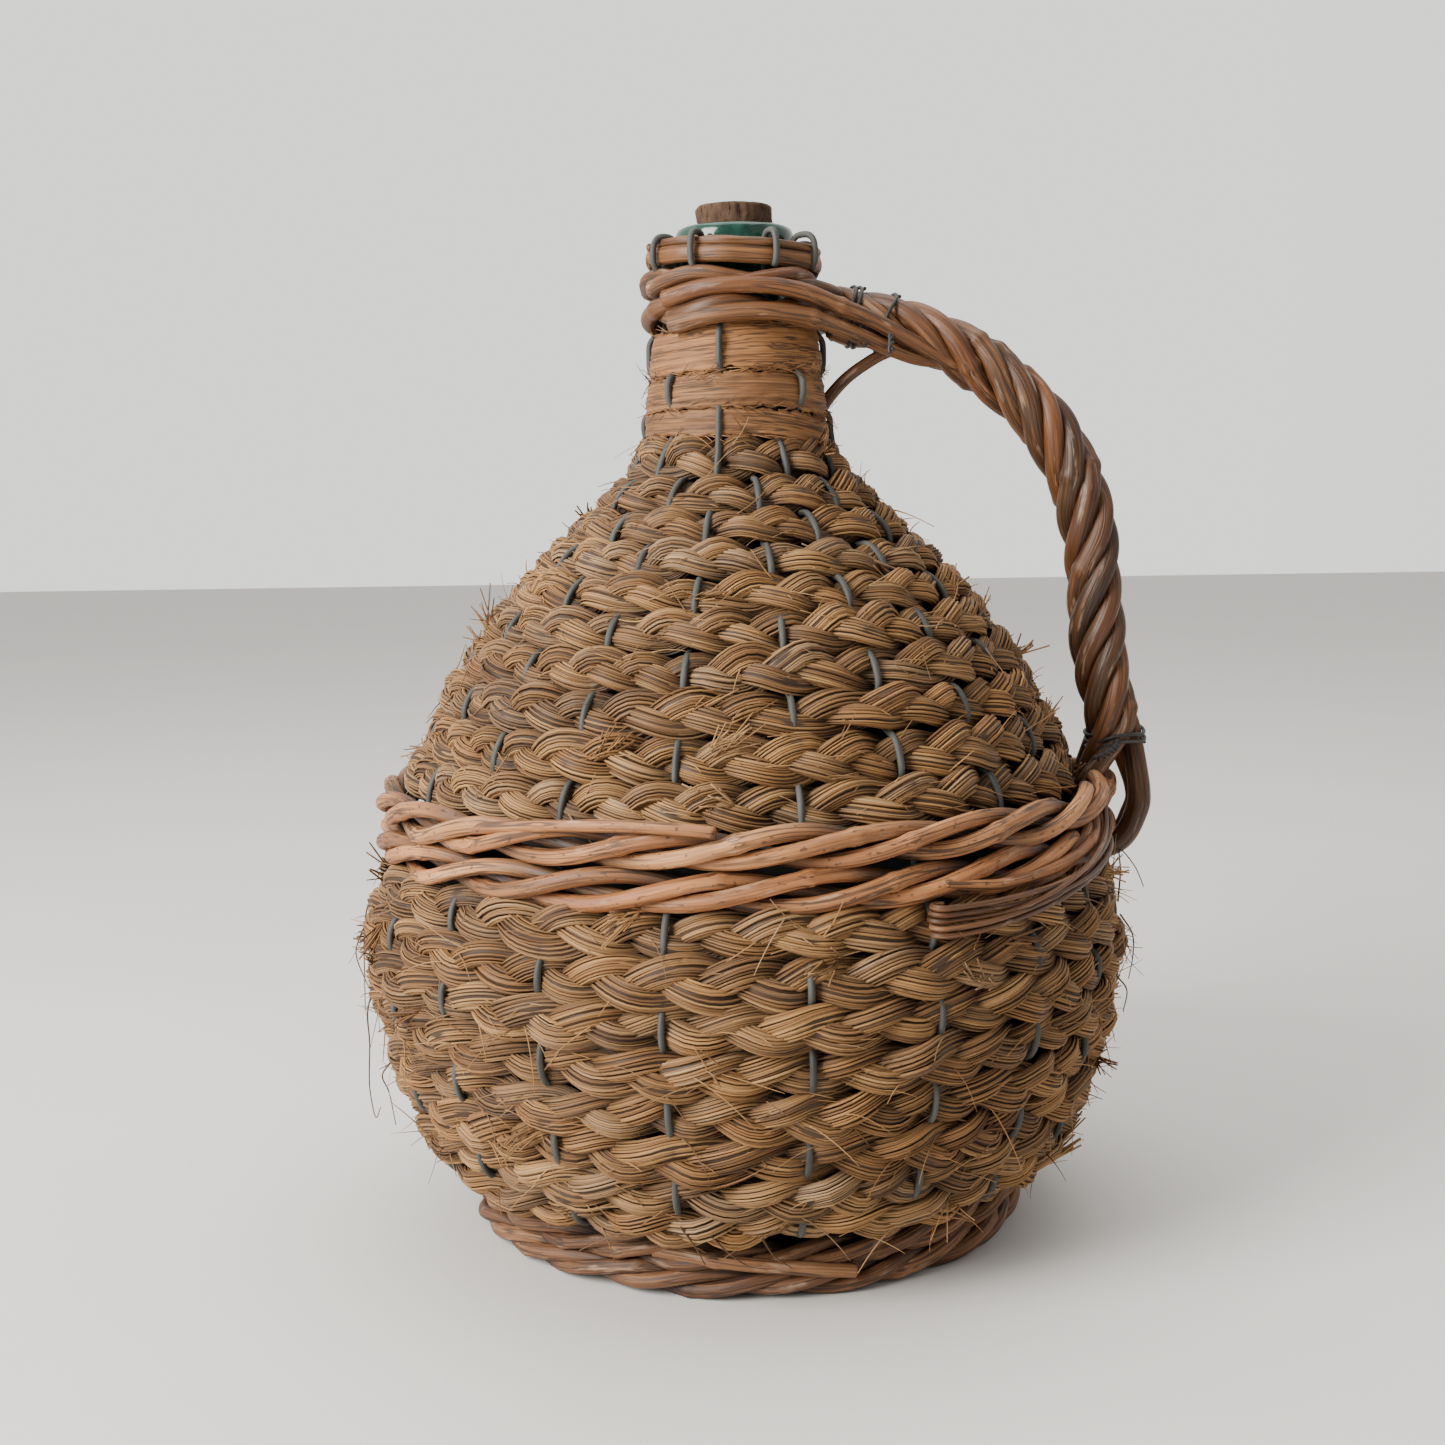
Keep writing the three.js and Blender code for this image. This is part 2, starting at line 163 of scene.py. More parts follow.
class Batch:
    """Gathers the surfaces of one piece. Every point carries a tint, which is tone, redness and
    painted light, lower where shade is painted into crevices and sunk parts, and a grain place,
    which is metres along and across its fibre."""

    def __init__(self):
        self.points = []
        self.tints = []
        self.grains = []
        self.faces = []
        self.count = 0

    def add(self, points, faces, tints, grains):
        shape = points.reshape(-1, 3)
        self.points.append(shape)
        self.tints.append(np.broadcast_to(tints, points.shape).reshape(-1, 3))
        self.grains.append(np.broadcast_to(grains, points.shape).reshape(-1, 3))
        self.faces += [block.reshape(-1, block.shape[-1]) + self.count for block in faces]
        self.count += len(shape)

    def sweep(self, paths, radii, up, tint, section=None, closed=False):
        """Rods along paths of shape (rods, stations, 3), or one path."""
        if paths.ndim == 2:
            paths = paths[None]
        rods, stations = paths.shape[:2]
        section = round_section(6) if section is None else section
        sides = section.shape[-2]
        if closed:
            along = unit(np.roll(paths, -1, axis=1) - np.roll(paths, 1, axis=1))
        else:
            along = unit(np.gradient(paths, axis=1))
        side = unit(np.cross(along, up))
        out = np.cross(side, along)
        radii = np.broadcast_to(radii, (rods, stations))[..., None, None]
        section = np.broadcast_to(section, (rods, stations, sides, 2)) * radii
        offset = section[..., :1] * side[:, :, None] + section[..., 1:] * out[:, :, None]
        points = paths[:, :, None] + offset
        steps = np.linalg.norm(np.diff(paths, axis=1), axis=2)
        travelled = np.concatenate([np.zeros((rods, 1)), np.cumsum(steps, axis=1)], axis=1)
        grain = np.concatenate(
            [np.broadcast_to(travelled[..., None, None], (rods, stations, sides, 1)), section], axis=3)
        grain = grain + dice.uniform(0, 4, (rods, 1, 1, 3))
        tint = np.asarray(tint, float)
        if tint.ndim == 1:
            tint = tint[None, None]
        tint = np.broadcast_to(tint, (rods, stations, 3))[:, :, None]
        index = np.arange(rods * stations * sides).reshape(rods, stations, sides)
        ring = np.roll(index, -1, axis=2)
        if closed:
            quads = [index, np.roll(index, -1, axis=1), np.roll(ring, -1, axis=1), ring]
            faces = [np.stack(quads, axis=-1)]
        else:
            quads = [index[:, :-1], index[:, 1:], ring[:, 1:], ring[:, :-1]]
            faces = [np.stack(quads, axis=-1), index[:, 0], index[:, -1, ::-1]]
        self.add(points, faces, tint, grain)

    def lathe(self, profile, steps, tint, push=None):
        """Turns a closed profile of [radius, height] pairs, which runs up on the outside. Its first
        and last points may be on the axis. push(angle, radius, height) moves points outwards."""
        angle = TURN * np.arange(steps) / steps
        radius = profile[:, 0][:, None]
        height = profile[:, 1][:, None]
        if push is not None:
            radius = radius + push(angle[None], radius, height)
        points = around(angle[None], radius, height)
        index = np.arange(points.shape[0] * steps).reshape(-1, steps)
        turned = np.roll(index, -1, axis=1)
        quads = np.stack([index[:-1], turned[:-1], turned[1:], index[1:]], axis=-1)
        self.add(points, [quads, index[0][::-1], index[-1]], np.asarray(tint, float), points)

    def make(self, name, material, slot, nodes=(), body=BODY):
        mesh = bpy.data.meshes.new(name)
        points = np.vstack(self.points)
        mesh.vertices.add(len(points))
        mesh.vertices.foreach_set("co", points.astype(np.float32).ravel())
        corners = np.concatenate([block.ravel() for block in self.faces]).astype(np.int32)
        sizes = np.concatenate([np.full(len(block), block.shape[1]) for block in self.faces])
        mesh.loops.add(len(corners))
        mesh.loops.foreach_set("vertex_index", corners)
        mesh.polygons.add(len(sizes))
        starts = np.concatenate([[0], np.cumsum(sizes)[:-1]]).astype(np.int32)
        mesh.polygons.foreach_set("loop_start", starts)
        mesh.update(calc_edges=True)
        mesh.validate()
        mesh.shade_smooth()
        for label, blocks in (("tint", self.tints), ("grain", self.grains)):
            attribute = mesh.attributes.new(label, "FLOAT_VECTOR", "POINT")
            attribute.data.foreach_set("vector", np.vstack(blocks).astype(np.float32).ravel())
        mesh.materials.append(material)
        piece = bpy.data.objects.new(name, mesh)
        bpy.context.scene.collection.objects.link(piece)
        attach(piece, body)
        if nodes:
            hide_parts(*nodes)
        return piece


# ---------------------------------------------------------------- materials


class Material:
    """A Principled material with short calls for its nodes."""

    def __init__(self, name, **constants):
        self.material = bpy.data.materials.new(name)
        self.material.use_nodes = True
        self.tree = self.material.node_tree
        self.shader = self.tree.nodes["Principled BSDF"]
        for label, value in constants.items():
            self.shader.inputs[label.replace("_", " ")].default_value = value

    def node(self, kind, inputs=(), **settings):
        made = self.tree.nodes.new(kind)
        for label, value in settings.items():
            setattr(made, label, value)
        for label, value in dict(inputs).items():
            self.set(made.inputs[label], value)
        return made

    def set(self, socket, value):
        if isinstance(value, bpy.types.NodeSocket):
            self.tree.links.new(value, socket)
        else:
            socket.default_value = value

    def attribute(self, name):
        return self.node("ShaderNodeAttribute", attribute_name=name).outputs["Vector"]

    def parts(self, vector):
        return self.node("ShaderNodeSeparateXYZ", {"Vector": vector}).outputs

    def stretch(self, vector, scale):
        return self.node("ShaderNodeMapping", {"Vector": vector, "Scale": scale}).outputs["Vector"]

    def noise(self, vector, scale, detail=4.0, roughness=0.55):
        inputs = {"Vector": vector, "Scale": scale, "Detail": detail, "Roughness": roughness}
        return self.node("ShaderNodeTexNoise", inputs).outputs["Fac"]

    def maths(self, operation, first, second=0.5, third=0.5):
        inputs = {0: first, 1: second, 2: third}
        return self.node("ShaderNodeMath", inputs, operation=operation).outputs[0]

    def grey(self, value):
        return self.node("ShaderNodeCombineXYZ", {0: value, 1: value, 2: value}).outputs[0]

    def span(self, value, low, high, new_low=0.0, new_high=1.0):
        inputs = {"Value": value, "From Min": low, "From Max": high,
                  "To Min": new_low, "To Max": new_high}
        return self.node("ShaderNodeMapRange", inputs).outputs["Result"]

    def mix(self, share, first, second, blend="MIX"):
        made = self.node("ShaderNodeMix", data_type="RGBA", blend_type=blend)
        self.set(made.inputs[0], share)
        self.set(made.inputs[6], first)
        self.set(made.inputs[7], second)
        return made.outputs[2]

    def ramp(self, value, stops):
        made = self.node("ShaderNodeValToRGB", {"Fac": value})
        elements = made.color_ramp.elements
        while len(elements) < len(stops):
            elements.new(0.5)
        for element, (place, colour) in zip(elements, stops):
            element.position = place
            element.color = (*colour, 1)
        return made.outputs["Color"]

    def finish(self, colour, roughness, height=None, depth=0.0003, strength=0.6):
        self.set(self.shader.inputs["Base Color"], colour)
        self.set(self.shader.inputs["Roughness"], roughness)
        if height is not None:
            inputs = {"Height": height, "Strength": strength, "Distance": depth}
            bump = self.node("ShaderNodeBump", inputs)
            self.set(self.shader.inputs["Normal"], bump.outputs["Normal"])
        return self.material


def straw_material():
    """Dry grass: each fibre has its own tone, with fine streaks along it and painted shade in its crevices.
    """
    m = Material("straw_fibre", Specular_IOR_Level=0.35)
    tone, redness, painted_light = m.parts(m.attribute("tint"))
    grain = m.attribute("grain")
    streak = m.noise(m.stretch(grain, (60, 2200, 2200)), 1.0, 3.0)
    blotch = m.noise(m.stretch(grain, (28, 200, 200)), 1.0, 3.0)
    place = m.node("ShaderNodeTexCoord").outputs["Object"]
    wide = m.noise(place, 22.0, 3.0)
    shade = m.maths("MULTIPLY_ADD", streak, 0.5, m.maths("MULTIPLY_ADD", blotch, 0.45, tone))
    shade = m.maths("MULTIPLY_ADD", wide, 0.35, shade)
    shade = m.maths("SUBTRACT", shade, 0.65)
    gold = m.ramp(shade, STRAW_GOLD)
    rust = m.ramp(shade, STRAW_RUST)
    grey = m.ramp(shade, STRAW_GREY)
    colour = m.mix(m.span(redness, 0.5, 1.0), gold, rust)
    colour = m.mix(m.span(redness, 0.45, 0.0), colour, grey)
    # Painted shade: the tint's third part darkens sunk fibres and the strand cores.
    painted_shade_factor = m.span(painted_light, 0.0, 1.0, 0.10, 1.0)
    colour = m.mix(1.0, colour, m.grey(painted_shade_factor), "MULTIPLY")
    return m.finish(colour, m.span(streak, 0.3, 0.7, 0.5, 0.8), streak, 0.00012, 0.7)


def wood_material(name, stops, speck=0.7, gloss=0.5, streak_size=(14, 900, 900), spots=True,
                  crack_size=(14, 300, 300)):
    """A peeled or barked rod: long grain, soft patches and thin cracks, and, where it has spots,
    small dark specks and pale scuffs."""
    m = Material(name, Specular_IOR_Level=0.4)
    tone, redness, painted_light = m.parts(m.attribute("tint"))
    grain = m.attribute("grain")
    streak = m.noise(m.stretch(grain, streak_size), 1.0, 5.0, 0.65)
    fine = m.noise(m.stretch(grain, (90, 2600, 2600)), 1.0, 2.0)
    patch = m.noise(m.stretch(grain, (22, 60, 60)), 1.0, 3.0)
    shade = m.maths("MULTIPLY_ADD", patch, 0.7, tone)
    shade = m.maths("MULTIPLY_ADD", m.span(streak, 0.3, 0.7), 0.55, shade)
    shade = m.maths("MULTIPLY_ADD", m.span(fine, 0.3, 0.7), 0.25, shade)
    shade = m.maths("SUBTRACT", shade, 0.75)
    colour = m.ramp(shade, stops)
    warm = m.mix(m.span(redness, 0.3, 1.0, 0.0, 0.8), colour, (1.0, 0.72, 0.5, 1), "MULTIPLY")
    veins = m.noise(m.stretch(grain, crack_size), 1.0, 2.0)
    vein = m.maths("ABSOLUTE", m.maths("SUBTRACT", veins, 0.5))
    crack = m.maths("MULTIPLY", m.span(vein, 0.045, 0.012), m.span(patch, 0.36, 0.48))
    warm = m.mix(m.maths("MULTIPLY", crack, 0.8), warm, (0.03, 0.016, 0.008, 1))
    if spots:
        dots = m.noise(m.stretch(grain, (330, 620, 620)), 1.0, 2.0)
        specks = m.maths("MULTIPLY", m.span(dots, 0.62, 0.68), speck)
        warm = m.mix(specks, warm, (0.035, 0.02, 0.012, 1))
        scuff = m.noise(m.stretch(grain, (60, 300, 300)), 1.0, 4.0)
        warm = m.mix(m.span(scuff, 0.60, 0.75, 0.0, 0.45), warm, (0.62, 0.44, 0.30, 1))
    # Painted shade: the tint's third part darkens rods where they sink into the weave.
    painted_shade_factor = m.span(painted_light, 0.0, 1.0, 0.12, 1.0)
    warm = m.mix(1.0, warm, m.grey(painted_shade_factor), "MULTIPLY")
    height = m.maths("MULTIPLY_ADD", fine, 0.4, streak)
    height = m.maths("SUBTRACT", height, m.maths("MULTIPLY", crack, 0.8))
    return m.finish(warm, m.span(patch, 0.3, 0.7, gloss, gloss + 0.18), height, 0.0003, 0.6)


def wire_material(name, dark, light, metal, rough):
    m = Material(name, Metallic=metal)
    grain = m.attribute("grain")
    dull = m.noise(m.stretch(grain, (60, 500, 500)), 1.0, 5.0)
    spots = m.span(m.noise(m.stretch(grain, (300, 900, 900)), 1.0, 3.0), 0.6, 0.75)
    colour = m.ramp(dull, [(0.3, dark), (0.7, light)])
    colour = m.mix(m.maths("MULTIPLY", spots, 0.55), colour, (0.09, 0.06, 0.045, 1))
    return m.finish(colour, m.span(dull, 0.3, 0.7, rough, rough + 0.2), dull, 0.0001, 0.4)


def cork_material():
    m = Material("cork_bark", Specular_IOR_Level=0.25)
    place = m.node("ShaderNodeTexCoord").outputs["Object"]
    mottle = m.noise(m.stretch(place, (260, 260, 130)), 1.0, 6.0, 0.65)
    band = m.noise(m.stretch(place, (420, 420, 60)), 1.0, 3.0)
    pores = m.span(m.noise(m.stretch(place, (800, 800, 320)), 1.0, 2.0), 0.62, 0.7)
    shade = m.maths("MULTIPLY_ADD", band, 0.25, m.maths("MULTIPLY", mottle, 0.85))
    colour = m.ramp(shade, CORK)
    colour = m.mix(m.maths("MULTIPLY", pores, 0.8), colour, (0.03, 0.014, 0.008, 1))
    height = m.maths("SUBTRACT", mottle, pores)
    return m.finish(colour, m.span(mottle, 0.3, 0.7, 0.75, 0.95), height, 0.0006, 0.8)


def glass_material():
    m = Material("green_bottle_glass", Transmission_Weight=0.2, IOR=1.5)
    place = m.node("ShaderNodeTexCoord").outputs["Object"]
    film = m.noise(place, 160.0, 5.0)
    swirl = m.noise(m.stretch(place, (30, 30, 160)), 1.0, 3.0)
    colour = m.ramp(film, [(0.35, (0.003, 0.026, 0.018)), (0.7, (0.018, 0.085, 0.058))])
    # The glass is darker and rougher below the lip, where the basket covers it.
    darker_below_lip = m.span(m.parts(place)[2], 0.36, 0.30)
    colour = m.mix(darker_below_lip, colour, (0.004, 0.006, 0.004, 1))
    rough = m.maths("MAXIMUM", m.span(film, 0.4, 0.75, 0.07, 0.32), m.maths("MULTIPLY", darker_below_lip, 0.8))
    return m.finish(colour, rough, swirl, 0.0005, 0.35)


# How a colour darkens towards its shaded and weathered parts, and lightens where it is worn
STRAW_STEPS = [
    (0.0, (0.11, 0.09, 0.09)),
    (0.3, (0.47, 0.44, 0.43)),
    (0.6, (1, 1, 1)),
    (1.0, (1.85, 2.1, 2.3)),
]
WOOD_STEPS = [
    (0.0, (0.14, 0.12, 0.10)),
    (0.35, (0.55, 0.50, 0.46)),
    (0.65, (1, 1, 1)),
    (1.0, (1.55, 1.8, 2.05)),
]
CORK_STEPS = [(0.25, (0.28, 0.27, 0.27)), (0.5, (1, 1, 1)), (0.8, (2.0, 2.4, 2.5))]


def shades(colour, steps):
    """The stops of a ramp: one base colour times the factors of each step."""
    return [(place, [part * factor for part, factor in zip(colour, factors)])
            for place, factors in steps]


STRAW_GOLD = shades((0.22, 0.11, 0.038), STRAW_STEPS)
STRAW_RUST = shades((0.26, 0.11, 0.032), STRAW_STEPS)
STRAW_GREY = shades((0.18, 0.11, 0.06), STRAW_STEPS)
WILLOW = shades((0.35, 0.15, 0.055), WOOD_STEPS)
HANDLE = shades((0.16, 0.07, 0.025), WOOD_STEPS)
PALE = shades((0.22, 0.10, 0.042), WOOD_STEPS)
BARK = shades((0.26, 0.12, 0.042), WOOD_STEPS)
CANE = shades((0.23, 0.10, 0.032), WOOD_STEPS)
CORK = shades((0.062, 0.032, 0.018), CORK_STEPS)

straw = straw_material()
willow = wood_material("willow_rod", WILLOW)
handle_wood = wood_material("twisted_willow", HANDLE, speck=0.2, gloss=0.42)
pale_willow = wood_material("pale_willow_rod", PALE, speck=0.3, gloss=0.55)
bark = wood_material("bark_strip", BARK, gloss=0.62, streak_size=(10, 700, 700), spots=False,
                     crack_size=(20, 520, 520))
cane = wood_material("split_cane", CANE, gloss=0.45, streak_size=(9, 1100, 1100), spots=False)
steel = wire_material("dull_steel_wire", (0.022, 0.022, 0.020), (0.088, 0.088, 0.080), 0.2, 0.6)
black_wire = wire_material("black_tie_wire", (0.012, 0.011, 0.010), (0.045, 0.040, 0.036), 0.3, 0.45)
cork = cork_material()
glass = glass_material()

# ---------------------------------------------------------------- stakes and covers

STAKES = sorted(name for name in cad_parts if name.startswith("stake_wire_"))


def stake_angle(node):
    """The angle of a stake, from the far corner of its box."""
    low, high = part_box(node)
    x = low[0] if abs(low[0]) > abs(high[0]) else high[0]
    y = low[1] if abs(low[1]) > abs(high[1]) else high[1]
    return math.atan2(y, x)


stake_angles = np.unwrap([stake_angle(node) for node in STAKES])


def stake_place(angle):
    """How many stakes have been passed at an angle, with the parts of a stake between them."""
    turns = np.floor((angle - stake_angles[0]) / TURN)
    angles = np.append(stake_angles, stake_angles[0] + TURN)
    return np.interp(angle - TURN * turns, angles, np.arange(len(STAKES) + 1)) + len(STAKES) * turns


# Outlines of the straw's crests as (radius, height) in mm
LOWER_CREST = [
    (121, 21.6), (130, 33), (139.5, 57), (146.5, 85), (149.7, 110), (147.5, 127), (142.3, 144.8),
]
UPPER_CREST = [
    (135, 173.4), (127.5, 189), (112.5, 218), (89, 249), (58, 280), (44.5, 294.5), (39, 303.6),
]
lower_cover = Cover(fit("lower_straw_plait", LOWER_CREST))
upper_cover = Cover(fit("upper_straw_plait", UPPER_CREST))

# ---------------------------------------------------------------- plaited straw


class Plait:
    """A spiral course of three-strand plait on a cover. Each strand is a bundle of fibres."""

    STEP = 3.2 * MM
    STRANDS = 3
    TONE = 0.54
    REDNESS = 0.45
    CORE_SHARE = 0.91  # width of the core inside a strand's fibres, painted dark as shade between them
    # The core's tint is painted shade: a low tone and little painted light.
    CORE_PAINTED_SHADE_TINT = (0.35, 0.5, 0.24)

    def __init__(self, cover, courses, first, last, sway, lift, half_width, half_depth, period,
                 fibres, bulge=1.6 * MM, depth=-6.0 * MM, fibre_radius=0.45 * MM, reach=0.0):
        self.cover = cover
        self.courses = courses
        self.length = cover.length + reach
        self.pitch = self.length / courses
        self.bulge = bulge
        self.fibre_radius = fibre_radius
        turn = np.linspace(first, last, 6000)
        up = self.course_height(turn)
        radius = cover.find(up, cover.line)[0]
        steps = np.diff(turn) * TURN * (radius[1:] + radius[:-1]) / 2
        travelled = np.concatenate([[0], np.cumsum(steps)])
        self.place = np.arange(0, travelled[-1], self.STEP)
        self.turn = np.interp(self.place, travelled, turn)
        self.angle = TURN * self.turn - math.pi
        self.up = self.course_height(self.turn) + 0.5 * MM * drift(self.place, 0.05)
        self.lay(sway, lift, half_width, half_depth, period, fibres, depth)

    def course_height(self, turn):
        """Level round the front, and rising by one course round the back."""
        whole = np.floor(turn)
        rise = ease((turn - whole - 0.5) / 0.5)
        edge = 0.05 * self.pitch
        return np.clip(self.pitch * (whole + rise + 0.5), edge, self.length - edge)

    def lay(self, sway, lift, half_width, half_depth, period, fibres, depth):
        place = self.place
        stakes = stake_place(self.angle)
        spacing = TURN * self.cover.find(self.up, self.cover.line)[0] / len(STAKES)
        from_stake = (stakes - np.round(stakes)) * spacing
        pinch = 1 - 0.26 * np.exp(-((from_stake / (4 * MM)) ** 2)) * (self.bulge > 0)
        middle = depth + self.bulge * np.cos(math.pi * stakes) + 0.4 * MM * drift(place, 0.03)
        swing = TURN * place / period + 0.8 * drift(place, 0.09)
        loose = 1 + 0.17 * drift(place, 0.05)
        self.cores = []
        paths, ups, radii, tints = [], [], [], []
        for strand in range(self.STRANDS):
            phase = swing + TURN * strand / self.STRANDS
            up = self.up + sway * np.sin(phase) * loose + 0.35 * MM * drift(place, 0.02)
            out = middle + lift * np.sin(2 * phase) * pinch
            line = self.cover.put(self.angle, up, out)
            normal = self.cover.normal(self.angle, up)
            along = unit(np.gradient(line, axis=0))
            side = unit(np.cross(along, normal))
            normal = np.cross(side, along)
            fat = 1 + 0.17 * drift(place, 0.05)
            twist = 0.9 * drift(place, 0.11) + TURN * place / 0.4
            spot = TURN * np.arange(fibres)[:, None] / fibres + twist
            spot = spot + 0.18 * drift(place, 0.05, fibres)
            reach = (1 + 0.13 * drift(place, 0.03, fibres)) * fat
            across = half_width * reach * np.cos(spot)
            inout = half_depth * reach * np.sin(spot) * pinch
            paths.append(line + across[..., None] * side + inout[..., None] * normal)
            ups.append(np.broadcast_to(normal, paths[-1].shape))
            thick = dice.uniform(0.82, 1.22, (fibres, 1)) * (1 + 0.18 * drift(place, 0.02, fibres))
            radii.append(fibre_thickness(thick, self.fibre_radius))
            strand_tone = self.TONE + 0.15 * drift(place, 0.16) + 0.09 * drift(place, 0.05)
            tone = strand_tone + dice.uniform(-0.15, 0.17, (fibres, 1))
            tone = tone + 0.18 * drift(place, 0.04, fibres)
            strand_red = self.REDNESS + 0.26 * drift(place, 0.21)
            redness = strand_red + dice.uniform(-0.16, 0.16, (fibres, 1)) + np.zeros_like(tone)
            # Painted shade: fibres that lie deeper in the plait get less painted light.
            deep = (out + inout - depth) / (lift + half_depth)
            painted_light = ease(0.42 + 0.62 * deep)
            tints.append(np.stack([tone, redness, painted_light], axis=2))
            self.cores.append((line, normal, half_width * self.CORE_SHARE * fat, half_depth / half_width))
        self.paths = np.concatenate(paths)
        self.ups = np.concatenate(ups)
        self.radii = np.concatenate(radii)
        self.tints = np.concatenate(tints)

    def make(self, name, nodes):
        """Two pieces a turn, which part at the sides, so that none is too heavy."""
        halves = np.floor(2 * self.turn)
        for number, half in enumerate(np.unique(halves)):
            stations = np.flatnonzero(halves == half)
            if len(stations) < 3:
                continue
            part = slice(stations[0], min(stations[-1] + 2, len(self.place)))
            batch = Batch()
            batch.sweep(self.paths[:, part], self.radii[:, part], self.ups[:, part], self.tints[:, part],
                        round_section(4))
            for line, normal, radius, squash in self.cores:
                section = round_section(8, squash)
                batch.sweep(line[part], radius[part], normal[part], self.CORE_PAINTED_SHADE_TINT, section)
            batch.make(f"{name}_{number + 1:02d}", straw, "straw", nodes)

    def hairs(self, batch, count, length, lift):
        """Loose fibre ends that stand a little off the plait."""
        rods, stations = self.paths.shape[:2]
        rod = dice.integers(0, rods, 4 * count)
        station = dice.integers(2, stations - 2, 4 * count)
        keep = np.flatnonzero(self.tints[rod, station, 2] > 0.72)[:count]
        rod, station = rod[keep], station[keep]
        start = self.paths[rod, station]
        along = unit(self.paths[rod, station + 2] - self.paths[rod, station - 2])
        self.sprout(batch, start, along, self.ups[rod, station], length, lift, self.tints[rod, station])

    def sprout(self, batch, start, along, out, length, lift, tint, thickness=0.32 * MM):
        count = len(start)
        share = np.linspace(0, 1, 6)[None, :, None]
        side = unit(np.cross(along, out))
        way = dice.choice([-1.0, 1.0], (count, 1))
        size = dice.uniform(*length, (count, 1, 1))
        rise = dice.uniform(*lift, (count, 1, 1))
        sideways = dice.normal(0, 0.35, (count, 1, 1))
        bend = dice.normal(0, 0.25, (count, 1, 1))
        paths = start[:, None] + size * (
            (along * way)[:, None] * share + out[:, None] * (rise * share**1.3)
            + side[:, None] * (sideways * share + bend * share**2))
        paths[..., 2] -= (size * 0.12 * share**2)[..., 0]
        radii = thickness * dice.uniform(0.6, 1.1, (count, 1)) * np.linspace(1.0, 0.45, 6)[None]
        # Loose ends are given more painted light than the fibre they leave.
        tint = tint[:, None] + [0.05, 0.0, 0.2]
        batch.sweep(paths, radii, out[:, None], tint, round_section(4))

    def tufts(self, batch, count, hairs, length, lift):
        """Bunches of cut ends where a new strand of straw was laid in."""
        stations = self.paths.shape[1]
        for _ in range(count):
            station = dice.integers(4, stations - 4)
            rods = np.flatnonzero(self.tints[:, station, 2] > 0.6)
            if not len(rods):
                continue
            centre = dice.choice(rods)
            near = rods[np.argsort(np.abs(rods - centre))][: max(3, hairs // 2)]
            rod = dice.choice(near, hairs)
            at = np.clip(station + dice.integers(-1, 2, hairs), 3, stations - 4)
            along = unit(self.paths[rod, at + 2] - self.paths[rod, at - 2])
            along = along * dice.choice([-1.0, 1.0])
            out = self.ups[rod, at]
            share = np.linspace(0, 1, 5)[None, :, None]
            size = dice.uniform(*length, (hairs, 1, 1))
            rise = dice.uniform(*lift) + dice.normal(0, 0.12, (hairs, 1, 1))
            side = unit(np.cross(along, out))
            fan = dice.normal(0, 0.28, (hairs, 1, 1)) + dice.normal(0, 0.3)
            paths = self.paths[rod, at][:, None] + size * (
                along[:, None] * share + out[:, None] * rise * share + side[:, None] * fan * share)
            radii = 0.42 * MM * dice.uniform(0.7, 1.1, (hairs, 1)) * np.linspace(1, 0.8, 5)[None]
            # Cut ends are given more painted light than the fibres they leave.
            tint = self.tints[rod, at][:, None] + [-0.02, 0.02, 0.15]
            batch.sweep(paths, radii, out[:, None], tint, round_section(4))


def fibre_thickness(share, radius):
    return radius * np.clip(share, 0.6, 1.4)


LOWER_COURSES = 8
UPPER_COURSES = 10
lower = Plait(lower_cover, LOWER_COURSES, -0.3, LOWER_COURSES - 0.2, sway=5.0 * MM, lift=3.0 * MM,
              half_width=4.3 * MM, half_depth=2.8 * MM, period=76 * MM, fibres=31, reach=4 * MM)
upper = Plait(upper_cover, UPPER_COURSES, -0.3, UPPER_COURSES - 0.2, sway=4.9 * MM, lift=2.9 * MM,
              half_width=4.1 * MM, half_depth=2.6 * MM, period=65 * MM, fibres=29, depth=-5.6 * MM,
              reach=3 * MM)
lower.make("lower_straw_half_turn", ["lower_straw_plait"])
upper.make("upper_straw_half_turn", ["upper_straw_plait"])

loose_straw = Batch()
lower.hairs(loose_straw, 900, (5 * MM, 20 * MM), (0.05, 0.5))
upper.hairs(loose_straw, 900, (4 * MM, 15 * MM), (0.05, 0.5))
lower.tufts(loose_straw, 40, 13, (6 * MM, 15 * MM), (0.1, 0.6))
upper.tufts(loose_straw, 44, 12, (5 * MM, 12 * MM), (0.1, 0.7))


def stray(cover, points, radius=0.4 * MM):
    """A long loose fibre through (degrees, height in mm, mm outside the crest)."""
    places = []
    heights = cover.line[:, 1]
    for degrees, height, out in points:
        at = np.interp(height * MM, heights, cover.line[:, 0]) + out * MM
        places.append(around(math.radians(degrees), at, height * MM))
    line = curve(places, 40)
    up = np.broadcast_to(unit(line[20] * [1, 1, 0]) * 0.3 + [0.1, 0.2, 0.9], line.shape)
    # A stray has a low tone and, in the tint's third part, a little painted shade.
    loose_straw.sweep(line, radius * np.linspace(1, 0.5, 40), up, (0.25, 0.5, 0.8), round_section(5))


